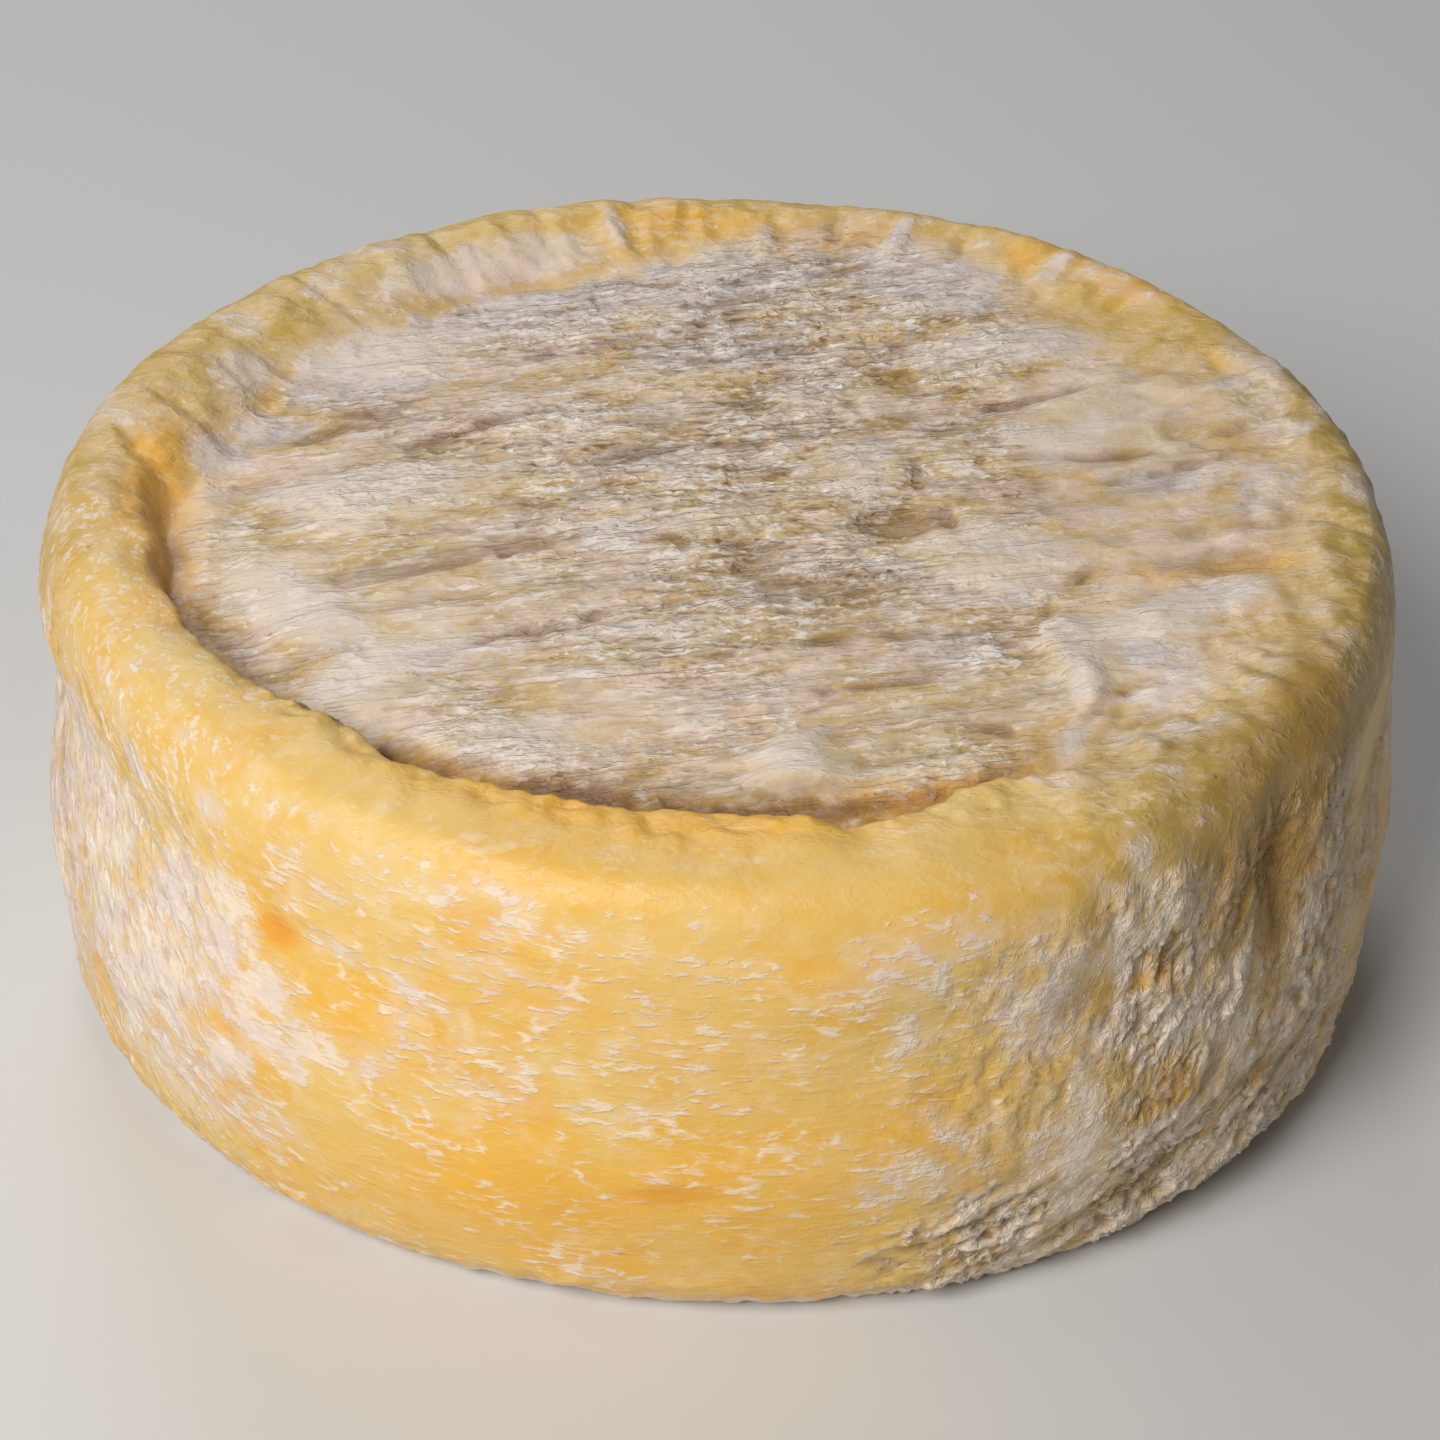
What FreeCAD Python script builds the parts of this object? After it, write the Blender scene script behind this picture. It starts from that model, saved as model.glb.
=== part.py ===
# A small washed-rind cheese, whole and uncut: a squat wheel with a rolled rim and a sunken top.
#
# Frame: millimetres, +Z up, the origin in the middle of the flat sole that the wheel rests on.
# Angles go round the wheel from +X towards +Y; the front of the wheel is -Y, at 270 degrees.
#
# The wheel is one solid under one continuous skin. The sketch "meridian" holds its mean half
# section as a control polygon, from the sole up the side, over the rim and down to the middle of
# the top. Each leg of the polygon is divided into rings, the rings are laid round the wheel, and
# every point is then moved by what makes a hand-made wheel uneven: its oval outline and its lean,
# the wandering inner edge of the rim, the slant of the sunken top, the ridges that a straw mat
# pressed there, and the folds, dents and lobes of the rind. A cubic B-spline surface, periodic
# round the wheel, takes these points as its poles.

import FreeCAD, Part
import Sketcher
import os
from math import cos, exp, pi, radians, sin

doc = FreeCAD.newDocument("washed_rind_wheel")
origin = FreeCAD.Vector(0, 0, 0)

# ---------------------------------------------------------------- driving sizes, in millimetres

driving_sizes = [
    ("wheel_height", 47.0, "top of the rim above the sole"),
    ("sole_radius", 50.4, "flat part of the underside"),
    ("heel_radius", 53.2, "where the side starts to rise"),
    ("ankle_radius", 56.4, "end of the heel's rounding"),
    ("ankle_height", 4.2, "end of the heel's rounding"),
    ("belly_radius", 58.2, "widest part of the side"),
    ("belly_height", 19.5, "widest part of the side"),
    ("waist_radius", 57.1, "slack below the rolled lip"),
    ("waist_height", 34.0, "slack below the rolled lip"),
    ("lip_radius", 57.3, "widest part of the rolled lip"),
    ("lip_height", 40.0, "widest part of the rolled lip"),
    ("roll_radius", 56.7, "where the lip rolls over inwards"),
    ("roll_drop", 2.8, "where the lip rolls over, below the top of the rim"),
    ("shoulder_radius", 54.8, "outer shoulder of the rim"),
    ("shoulder_drop", 0.4, "outer shoulder, below the top of the rim"),
    ("crest_radius", 51.0, "middle of the rim"),
    ("edge_radius", 46.9, "inner edge of the rim"),
    ("edge_drop", 0.6, "inner edge, below the top of the rim"),
    ("wall_radius", 46.2, "foot of the rim's inner wall"),
    ("trough_radius", 44.3, "trough along the foot of that wall"),
    ("trough_depth", 0.5, "trough below the sunken top"),
    ("trough_width", 4.0, "the mat's ridges stay this clear of the wall"),
    ("apron_radius", 41.0, "where the sunken top proper begins"),
    ("sink", 2.9, "sunken top below the rim"),
    ("crown_rise", 0.6, "middle of the sunken top above its edge"),
    ("slant", 1.8, "rise and fall of the sunken top at the wall"),
    ("slant_angle", 207.0, "direction in which it falls, in degrees"),
    ("mat_pitch", 5.6, "from one mat ridge to the next"),
    ("mat_rise", 0.4, "height of a mat ridge"),
    ("mat_angle", 13.0, "direction of the ridges, in degrees"),
    ("eye_radius", 2.5, "smooth spot where all stations meet"),
    ("stations", 120, "poles of the skin round the wheel"),
]

sizes = doc.addObject("Spreadsheet::Sheet", "sizes")
for row, (alias, value, note) in enumerate(driving_sizes, start=1):
    sizes.set(f"A{row}", alias)
    sizes.set(f"B{row}", str(value))
    sizes.set(f"C{row}", note)
    sizes.setAlias(f"B{row}", alias)
doc.recompute()


def size(alias):
    return float(sizes.get(alias))


# ---------------------------------------------------------------- the mean half section

# The corners of the control polygon. Radius and height are sums and differences of cells, and the
# zone says what the leg that starts there belongs to. The last numbers say how a corner takes
# part in the unevenness: its share of the wandering of the rim's inner edge, its share of the
# slant, and how far it moves outwards and up, in mm, where no wall but a gentle slope leads down.
corners = [
    ("sole", "sole_radius", "", "side", 0.0, 0.0, 0.0, 0.0),
    ("heel", "heel_radius", "", "side", 0.0, 0.0, 0.0, 0.0),
    ("ankle", "ankle_radius", "ankle_height", "side", 0.0, 0.0, 0.0, 0.0),
    ("belly", "belly_radius", "belly_height", "side", 0.0, 0.0, 0.0, 0.0),
    ("waist", "waist_radius", "waist_height", "side", 0.0, 0.0, 0.0, 0.0),
    ("lip", "lip_radius", "lip_height", "side", 0.0, 0.0, 0.0, 0.0),
    ("roll", "roll_radius", "wheel_height - roll_drop", "side", 0.0, 0.0, 0.0, 0.0),
    ("shoulder", "shoulder_radius", "wheel_height - shoulder_drop", "rim", 0.0, 0.0, 0.0, 0.0),
    ("crest", "crest_radius", "wheel_height", "rim", 0.4, 0.0, 1.2, 0.0),
    ("edge", "edge_radius", "wheel_height - edge_drop", "rim", 1.0, 0.1, 1.6, -0.2),
    ("wall", "wall_radius", "wheel_height - sink - trough_depth", "top", 1.0, 1.0, -2.4, 0.9),
    ("trough", "trough_radius", "wheel_height - sink - trough_depth", "top", 1.0, 1.0, -3.0, 0.6),
    ("apron", "apron_radius", "wheel_height - sink", "top", 0.5, 0.9, -2.0, 0.1),
    ("middle", "", "wheel_height - sink + crown_rise", "top", 0.0, 0.0, 0.0, 0.0),
]

# How many rings each leg is divided into. The skin rounds a corner over about one ring each side.
rings_per_leg = [1, 2, 5, 4, 3, 2, 2, 2, 3, 3, 2, 2, 22]


def sheet_value(terms):
    """The value of a sum or difference of cells, such as "wheel_height - sink"."""
    total = 0.0
    sign = 1.0
    for word in terms.split():
        if word in "+-":
            sign = 1.0 if word == "+" else -1.0
        else:
            total += sign * size(word)
    return total


def bound_to_cells(terms):
    """The same sum as an expression on the sheet."""
    return " ".join(word if word in "+-" else f"sizes.{word}" for word in terms.split())


def draw_meridian():
    """The polygon's legs end to end on the XZ plane, each corner dimensioned from the sheet."""
    sketch = doc.addObject("Sketcher::SketchObject", "meridian")
    sketch.Placement = FreeCAD.Placement(origin, FreeCAD.Rotation(FreeCAD.Vector(1, 0, 0), 90))
    points = [FreeCAD.Vector(sheet_value(c[1]), sheet_value(c[2]), 0) for c in corners]
    for start, end in zip(points, points[1:]):
        sketch.addGeometry(Part.LineSegment(start, end), False)
    last_leg = len(corners) - 2
    for leg in range(last_leg):
        sketch.addConstraint(Sketcher.Constraint("Coincident", leg, 2, leg + 1, 1))
    for index, (name, radius, height, *_) in enumerate(corners):
        leg = min(index, last_leg)
        end = 1 if index == leg else 2
        dimensions = [
            ("DistanceX", "radius", radius, points[index].x, -2),
            ("DistanceY", "height", height, points[index].y, -1),
        ]
        for kind, word, terms, value, axis in dimensions:
            if not terms:
                sketch.addConstraint(Sketcher.Constraint("PointOnObject", leg, end, axis))
                continue
            number = sketch.addConstraint(Sketcher.Constraint(kind, -1, 1, leg, end, value))
            sketch.renameConstraint(number, f"{name}_{word}")
            sketch.setExpression(f"Constraints.{name}_{word}", bound_to_cells(terms))
    return sketch


meridian = draw_meridian()
doc.recompute()


def rings():
    """Every ring of the skin, each with its zone and the numbers that lie between two corners'."""
    solved = [line.StartPoint for line in meridian.Geometry] + [meridian.Geometry[-1].EndPoint]
    stops = [(point.x, point.y, *corner[4:]) for point, corner in zip(solved, corners)]
    zones = [corner[3] for corner in corners]
    found = []
    for zone, start, end, count in zip(zones, stops, stops[1:], rings_per_leg):
        for step in range(count):
            found.append((zone, *(a + (b - a) * step / count for a, b in zip(start, end))))
    found.append((zones[-1], *stops[-1]))
    return found


# ---------------------------------------------------------------- what makes the wheel uneven


def turn(angle, towards):
    """The signed turn from one angle to another, in degrees, within half a turn."""
    return (angle - towards + 180.0) % 360.0 - 180.0


def bell(offset, spread):
    return exp(-((offset / spread) ** 2))


def ease(value):
    """A smooth step from 0 to 1."""
    value = min(max(value, 0.0), 1.0)
    return value * value * (3.0 - 2.0 * value)


# The outline at three levels, each a sum of lobes: how many, how far they stand out, and where.
heel_lobes = [(1, 0.80, 53.0), (2, 1.75, 10.0), (3, 0.40, 71.0)]
belly_lobes = [(1, 0.20, 221.0), (2, 0.45, 6.0), (3, 0.40, 95.0)]
lip_lobes = [(1, 0.35, 245.0), (2, 0.35, 20.0), (3, 0.62, 49.0)]

# Where the waist draws in below the lip or fills out: angle, spread, amount.
waist_dents = [
    (200.0, 26.0, -1.1),
    (262.0, 30.0, 0.25),
    (350.0, 20.0, 0.35),
    (45.0, 30.0, -0.4),
    (120.0, 30.0, -0.6),
]


def lobed(lobes, angle):
    return sum(out * cos(radians(count * (angle - top))) for count, out, top in lobes)


def outline(angle, height):
    """How far the side stands outside the mean radius at this angle and height."""
    rise_to_belly = ease(height / size("belly_height"))
    rise_to_lip = ease((height - size("belly_height")) / (size("lip_height") - size("belly_height")))
    low = lobed(heel_lobes, angle) * (1.0 - rise_to_belly) + lobed(belly_lobes, angle) * rise_to_belly
    high = low * (1.0 - rise_to_lip) + lobed(lip_lobes, angle) * rise_to_lip
    return high + wandering(waist_dents, angle) * bell(height - size("waist_height"), 5.5)


# Where the rim's inner edge wanders: at this angle, over this spread, outwards by this much.
edge_folds = [
    (183.0, 8.0, 1.9),
    (199.0, 6.0, 1.9),
    (214.0, 8.0, 1.8),
    (229.0, 4.0, -0.8),
    (240.0, 4.5, 1.0),
    (258.0, 9.0, -0.8),
    (271.0, 8.0, -1.5),
    (282.5, 4.0, 0.9),
    (296.5, 6.0, -2.3),
    (330.0, 16.0, 1.2),
    (10.0, 22.0, 1.4),
    (62.0, 24.0, 2.2),
    (98.0, 12.0, -0.9),
    (137.0, 12.0, -1.0),
    (152.0, 7.0, 1.0),
]

# Where the rim's top is pressed in or swollen: angle, spread, rise.
rim_dents = [
    (177.0, 5.0, -0.9),
    (168.0, 4.0, 0.3),
    (192.0, 8.0, 0.3),
    (229.0, 6.0, 0.35),
    (262.0, 12.0, -0.3),
    (296.0, 10.0, -0.5),
    (318.0, 9.0, 0.2),
    (352.0, 12.0, -0.5),
    (20.0, 9.0, 0.35),
    (36.0, 6.0, -0.4),
    (60.0, 9.0, 0.25),
    (84.0, 8.0, -0.45),
    (112.0, 10.0, 0.3),
    (146.0, 8.0, -0.5),
]

# The inner wall stands steep over the arc where the rim curls inwards, and is a slope elsewhere.
steep_middle = 243.0
steep_half_arc = 50.0
steep_fade = 26.0


def wandering(folds, angle):
    return sum(amount * bell(turn(angle, middle), spread) for middle, spread, amount in folds)


def softness(angle):
    """0 where the inner wall is steep, 1 where it is a gentle slope."""
    return ease((abs(turn(angle, steep_middle)) - steep_half_arc) / steep_fade)


# Folds of the side: angle and height of the middle, slant from the level, half length along the
# fold, half width across it, and how far it stands out. A crease stands in.
side_folds = [
    (194.0, 38.5, -12.0, 13.0, 3.0, 0.9),
    (193.0, 31.0, 40.0, 7.0, 1.5, -0.7),
    (207.0, 36.5, -25.0, 8.0, 2.2, -0.6),
    (221.0, 31.0, -42.0, 9.0, 2.2, -0.5),
    (199.0, 24.0, -60.0, 9.0, 4.0, 0.5),
    (214.0, 20.0, -75.0, 9.0, 5.0, 0.45),
    (233.0, 33.0, 0.0, 2.2, 2.0, -0.45),
    (246.0, 12.0, 8.0, 12.0, 4.0, 0.4),
    (268.0, 27.0, 3.0, 14.0, 4.0, -0.3),
    (283.0, 38.0, 20.0, 9.0, 2.5, 0.35),
    (297.0, 37.0, 78.0, 7.0, 2.0, 0.5),
    (303.5, 36.0, 100.0, 9.0, 1.8, -0.6),
    (309.0, 33.0, 112.0, 10.0, 2.0, 0.55),
    (314.0, 25.0, 120.0, 8.0, 2.0, -0.5),
    (320.5, 37.0, 92.0, 9.0, 1.9, -1.2),
    (327.0, 33.0, 88.0, 12.0, 4.5, 0.7),
    (334.0, 20.0, 70.0, 10.0, 4.0, -0.5),
    (305.0, 17.0, 150.0, 8.0, 2.0, 0.45),
    (309.5, 9.5, 38.0, 6.0, 1.4, -0.7),
    (292.0, 9.5, 20.0, 9.0, 1.5, -0.4),
    (320.0, 7.0, 3.0, 9.0, 2.6, 0.6),
    (343.0, 30.0, 82.0, 12.0, 2.5, -0.4),
    (317.0, 6.0, 5.0, 16.0, 5.0, -0.6),
    (357.0, 25.0, 95.0, 12.0, 6.0, 0.7),
    (27.0, 33.0, 60.0, 9.0, 3.0, -0.5),
    (52.0, 17.0, 110.0, 10.0, 4.0, -0.5),
    (83.0, 31.0, 20.0, 12.0, 3.0, -0.4),
    (118.0, 22.0, 75.0, 11.0, 4.0, 0.45),
    (151.0, 33.0, 140.0, 9.0, 3.0, -0.5),
    (172.0, 18.0, 80.0, 12.0, 4.5, 0.5),
]

# Marks on the sunken top: middle in X and Y, direction, half length, half width and rise.
top_marks = [
    (24.0, 19.0, 25.0, 11.0, 1.9, -0.75),
    (39.0, 13.5, 31.0, 8.0, 1.8, -0.6),
    (31.0, 21.0, 27.0, 8.0, 3.0, 0.45),
    (-9.0, 30.0, 8.0, 16.0, 2.5, 0.3),
    (24.0, 30.0, -30.0, 8.0, 3.5, 0.5),
    (14.5, -2.0, 20.0, 3.0, 2.3, -0.9),
    (18.0, 6.0, 120.0, 7.0, 2.5, 0.4),
    (1.7, -8.0, 70.0, 2.6, 2.0, -0.45),
    (-32.0, -22.0, 55.0, 7.0, 4.0, 0.7),
    (-22.0, -36.0, 25.0, 5.0, 3.0, 0.6),
    (6.0, -38.5, 75.0, 4.0, 2.2, 0.6),
    (-13.5, -37.5, 15.0, 3.5, 2.0, 0.4),
    (29.0, -28.0, 80.0, 6.0, 2.0, 0.5),
    (24.5, -27.0, 20.0, 6.0, 3.0, 0.4),
    (37.0, -18.0, 25.0, 9.0, 2.2, 0.5),
    (33.0, -12.5, 22.0, 9.0, 2.0, -0.5),
    (-18.0, -11.0, 15.0, 15.0, 1.9, -0.4),
    (-24.0, 8.0, 18.0, 13.0, 2.0, -0.4),
    (20.0, -43.0, 28.0, 6.0, 1.6, -0.5),
]


def marked(marks, across, up):
    """The rise of all marks at a point; each is a soft ridge or groove lying at its own slant."""
    rise = 0.0
    for middle, level, slant, half_length, half_width, height in marks:
        along = (across - middle) * cos(radians(slant)) + (up - level) * sin(radians(slant))
        beside = (up - level) * cos(radians(slant)) - (across - middle) * sin(radians(slant))
        rise += height * bell(along, half_length) * bell(beside, half_width)
    return rise


def side_marked(angle, height):
    """The folds of the side, measured along the arc of the lip."""
    arc = radians(size("lip_radius"))
    laid_out = [(turn(fold[0], angle) * arc, *fold[1:]) for fold in side_folds]
    return marked(laid_out, 0.0, height)


def mat_ridges(x, y):
    """The ridges that the straw of the draining mat pressed into the top, bent a little."""
    heading = radians(size("mat_angle"))
    along = x * cos(heading) + y * sin(heading)
    across = y * cos(heading) - x * sin(heading)
    across += 1.1 * sin(along / 13.0) + 0.7 * sin(along / 7.0 + across / 9.0)
    fade = 0.6 + 0.4 * sin(along / 11.0 + across / 6.5)
    return size("mat_rise") * fade * cos(2.0 * pi * across / size("mat_pitch"))


# ---------------------------------------------------------------- the skin


def place(ring, angle):
    """The point of a ring at one angle, moved by everything that makes the wheel uneven."""
    zone, radius, height, edge_share, slant_share, soft_out, soft_up = ring
    moved = radius + outline(angle, height) * min(radius / size("sole_radius"), 1.0)
    moved += edge_share * wandering(edge_folds, angle) + soft_out * softness(angle)
    if zone == "side":
        below_shoulder = size("wheel_height") - size("shoulder_drop") - height
        fade = ease(height / size("ankle_height")) * ease(below_shoulder / size("ankle_height"))
        return moved + side_marked(angle, height) * fade, height
    heading = radians(angle)
    lean = slant_share * size("slant") * cos(radians(angle - size("slant_angle")))
    lifted = height - lean * min(radius / size("trough_radius"), 1.0) + soft_up * softness(angle)
    rim_share = bell(radius - size("crest_radius"), 5.0)
    lifted += rim_share * wandering(rim_dents, angle)
    if zone == "top":
        x, y = moved * cos(heading), moved * sin(heading)
        clear_of_wall = ease((size("wall_radius") - radius) / size("trough_width"))
        clear_of_middle = ease((radius - size("eye_radius")) / size("mat_pitch"))
        lifted += (marked(top_marks, x, y) + mat_ridges(x, y)) * clear_of_wall * clear_of_middle
    return moved, lifted


def make_skin():
    """The periodic cubic surface over all rings, from the sole's edge to the middle of the top.

    The stations run clockwise, so that the skin faces outwards.
    """
    stations = int(size("stations"))
    ladder = rings()
    poles = []
    for ring in ladder[:-1]:
        row = []
        for station in range(stations):
            angle = -360.0 * station / stations
            radius, height = place(ring, angle)
            row.append(FreeCAD.Vector(radius * cos(radians(angle)), radius * sin(radians(angle)), height))
        poles.append(row)
    middle = sum((pole.z for pole in poles[-1]), 0.0) / stations
    poles.append([FreeCAD.Vector(0, 0, middle)] * stations)
    spans_up = len(poles) - 3
    skin = Part.BSplineSurface()
    skin.buildFromPolesMultsKnots(
        poles,
        [4] + [1] * (spans_up - 1) + [4],
        [1] * (stations + 1),
        [float(knot) for knot in range(spans_up + 1)],
        [float(knot) for knot in range(stations + 1)],
        False,
        True,
        3,
        3,
    )
    return skin.toShape()


def make_wheel():
    """The skin closed by its flat sole."""
    skin = make_skin()
    sole_edge = max(skin.Edges, key=lambda edge: edge.Length)
    sole = Part.Face(Part.Wire(sole_edge))
    if sole.normalAt(0, 0).z > 0:
        sole.reverse()
    return Part.Solid(Part.Shell([skin, sole]))


wheel = doc.addObject("Part::Feature", "cheese_wheel")
wheel.Label = "cheese_wheel"
wheel.Shape = make_wheel()
mesh_points = wheel.Shape.tessellate(0.1)[0]
middle_x = (min(p.x for p in mesh_points) + max(p.x for p in mesh_points)) / 2.0
middle_y = (min(p.y for p in mesh_points) + max(p.y for p in mesh_points)) / 2.0
wheel.Placement = FreeCAD.Placement(FreeCAD.Vector(-middle_x, -middle_y, 0), FreeCAD.Rotation())
doc.recompute()

# ---------------------------------------------------------------- checks and export

for item in doc.Objects:
    if "Invalid" in item.State or "Error" in item.State:
        raise RuntimeError(f"{item.Name} did not compute")
sub_parts = [wheel]
for sub_part in sub_parts:
    if sub_part.Shape.isNull() or not sub_part.Shape.isValid():
        raise RuntimeError(f"{sub_part.Label} is not a valid solid")

os.makedirs("parts", exist_ok=True)
for sub_part in sub_parts:
    sub_part.Shape.exportStep(f"parts/{sub_part.Label}.step")
    print(f"{sub_part.Label}: {sub_part.Shape.Volume / 1000.0:.1f} cm3, "
          f"moved by {-middle_x:.2f}, {-middle_y:.2f} mm")
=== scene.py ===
import math

import bmesh
import bpy
import numpy as np
from mathutils import Matrix, Vector, noise


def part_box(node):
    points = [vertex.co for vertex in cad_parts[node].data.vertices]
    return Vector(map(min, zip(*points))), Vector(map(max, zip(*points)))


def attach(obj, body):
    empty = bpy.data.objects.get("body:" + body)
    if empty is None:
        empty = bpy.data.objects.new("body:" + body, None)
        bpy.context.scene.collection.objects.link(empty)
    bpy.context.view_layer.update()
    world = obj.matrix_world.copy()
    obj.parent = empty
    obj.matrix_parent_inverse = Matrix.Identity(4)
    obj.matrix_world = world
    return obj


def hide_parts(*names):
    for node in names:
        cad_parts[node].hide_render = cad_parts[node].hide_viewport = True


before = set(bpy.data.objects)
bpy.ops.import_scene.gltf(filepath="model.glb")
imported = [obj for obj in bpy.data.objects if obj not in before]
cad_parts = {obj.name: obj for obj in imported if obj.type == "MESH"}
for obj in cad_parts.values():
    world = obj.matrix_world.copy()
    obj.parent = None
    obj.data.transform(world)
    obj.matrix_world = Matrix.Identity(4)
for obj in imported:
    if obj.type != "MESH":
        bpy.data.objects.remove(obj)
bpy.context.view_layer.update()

mm = 0.001
wallRadius = 57.0     # mm; turns an angle on the wall into a length
lowCorner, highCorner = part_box("cheese_wheel")
print("wheel", round((highCorner.x - lowCorner.x) / mm, 1), "mm across,",
      round((highCorner.z - lowCorner.z) / mm, 1), "mm high")


def ease(value):   # smooth step from 0 to 1
    value = np.clip(value, 0.0, 1.0)
    return value * value * (3.0 - 2.0 * value)


def turnTo(angle, towards):   # signed turn in degrees, within half a turn
    return (angle - towards + 180.0) % 360.0 - 180.0


# Perlin noise at points in mm, about -1 to 1. size is the width of a lump, stretch its length
# along each axis after the pattern is turned by slant degrees about z.
def lumps(points, size, stretch=(1, 1, 1), slant=0, seed=0.0, octaves=2):
    lean = math.radians(slant)
    x = points[:, 0] * math.cos(lean) + points[:, 1] * math.sin(lean)
    y = points[:, 1] * math.cos(lean) - points[:, 0] * math.sin(lean)
    spots = np.stack([x, y, points[:, 2]], 1) / np.array(stretch) / size + seed
    return np.array([noise.fractal(p, 0.9, 2.1, octaves) for p in spots.tolist()])


# the same, but 1 on sharp crests and 0 in broad valleys
def ridges(points, size, stretch=(1, 1, 1), slant=0, seed=0.0, octaves=2):
    return 1.0 - np.clip(2.4 * np.abs(lumps(points, size, stretch, slant, seed, octaves)), 0.0, 1.0)


# Soft patches, the strongest wins: middle across and up, half length, half width, slant, strength.
def patches(across, up, spots, soft=0.5):
    field = np.zeros(len(up))
    for middle, height, length, width, slant, strength in spots:
        lean = math.radians(slant)
        dx = across(middle)
        dy = up - height
        along = dx * math.cos(lean) + dy * math.sin(lean)
        beside = dy * math.cos(lean) - dx * math.sin(lean)
        reach = np.hypot(along / length, beside / width)
        field = np.maximum(field, strength * ease((1.0 + soft - reach) / (2.0 * soft)))
    return field


def onSide(spots, soft=0.5):   # patches placed by angle and height; lengths are in mm along the wall
    return patches(lambda middle: np.radians(turnTo(angle, middle)) * wallRadius, height, spots, soft)


def onTop(spots, soft=0.5):   # patches placed by x and y, on the top only
    return patches(lambda middle: spotX - middle, spotY, spots, soft) * above


def raisedBy(patch, folds):   # folds and creases in mm, each a soft patch with a height of its own
    raised = np.zeros(len(height))
    for fold in folds:
        raised += patch([fold[:5] + (1.0,)], 0.8) * fold[5]
    return raised


# The rind: the wheel's own surface, remeshed finely, then given its folds, crust and puckers.
rind = {
    "voxel": 0.42 * mm,
    "quickVoxel": 1.0 * mm,
    "triangles": 192000,       # kept of the fine skin, most of them where it is rough
    "weld": 0.002,             # mm; corners of the CAD mesh closer than this are one
    "soleRadius": 47.0,        # mm; the flat underside inside this is left as it is
    "soleHeight": 0.06,
    "smoothPasses": 2,
    "smoothStep": 0.6,
    "matSlant": 15,            # degrees; the way the straws of the mat ran
    "crust": 0.36,             # mm, as all below; height of the streaky crust on the sunken top
    "lump": 0.30,              # broad unevenness of the sunken top
    "softDent": 0.24,          # dents of the plain soft skin
    "rimWave": 0.20,
    "rimStroke": 0.10,         # fine strokes across the rim
    "innerFold": 0.6,          # the fold where the top meets the rim
    "frill": 0.35,             # crumpled skin in front of the inner wall
    "pucker": 0.34,            # folds round the inner wall at the back
    "wrinkle": 0.55,           # shrivelled skin on the right of the wall
    "knobs": 0.20,             # small lumps of the dull rim on the right and at the back
    "wallWave": 0.10,
    "leftFold": 0.30,          # drooping folds on the left of the wall
    "stroke": 0.07,            # faint level strokes on the front of the wall
    "ruffle": 0.30,            # torn skin along the foot
}

# where the grey sunken top meets the yellow rim: angle, radius
panelEdge = [(0, 47), (20, 45.5), (43, 43), (55, 45), (66, 49), (80, 51), (88, 47.5), (97, 43.5),
             (107, 41.5), (122, 42.5), (136, 44), (150, 45.5), (165, 46), (180, 46.5), (200, 46.5),
             (222, 45.5), (235, 44.3), (245, 43), (257, 43), (270, 43.6), (286, 43), (300, 43.5),
             (312, 44), (326, 46), (342, 47)]

# the fold between the sunken top and the inner wall: angle, radius, how brown and deep it is
innerFold = [(172, 47.5, 0.0), (186, 48, 0.1), (201, 47.6, 0.2), (212, 47.5, 0.6), (221, 47.2, 0.7),
             (232, 45.4, 1.0), (240, 44.2, 0.75), (248, 42.8, 0.85), (256, 42.2, 1.0), (265, 42.4, 0.9),
             (274, 42.8, 0.85), (286, 43.8, 0.7), (296, 43.8, 0.45), (306, 43.5, 0.4), (320, 44, 0.0)]

# smooth raised lobes and hollows on the top: x, y, half length, half width, slant, height in mm
topLobes = [(-45.5, -3, 2.5, 9, 4, 0.7), (-35.5, -15.5, 8, 3.5, -55, 0.5), (-30, -26.5, 5.5, 3.2, 45, 0.5),
            (-17, -36, 5, 2.6, 15, 0.55), (6, -37.5, 3.2, 3.6, 75, 0.8), (-31, 2, 7, 5, 10, 0.45),
            (33, 14, 8, 6, 25, 0.25), (24, -7, 6, 4.5, 0, 0.35), (38, -15, 8, 2.4, 28, 0.55),
            (28, -21, 2.2, 6, 10, 0.5), (-33, 24, 9, 6, 35, 0.35), (24, 28, 7, 3, 10, 0.45),
            (11, 8, 3, 5, 20, 0.4)]
topHollows = [(14, -1.5, 3.0, 2.0, 20, 0.45), (2.2, -8.5, 2.2, 1.6, 60, 0.3), (-17, 0, 9, 2.2, 16, 0.12),
              (-27, -9, 9, 1.8, 20, 0.2), (8, -13, 6, 2.5, 5, 0.3), (-28, 8, 8, 1.5, 22, 0.35),
              (1.5, 17.5, 1.8, 1.6, 0, 0.4), (15, 22, 2, 3, 60, 0.25), (41, -7, 6, 1.8, 10, 0.35)]
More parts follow.
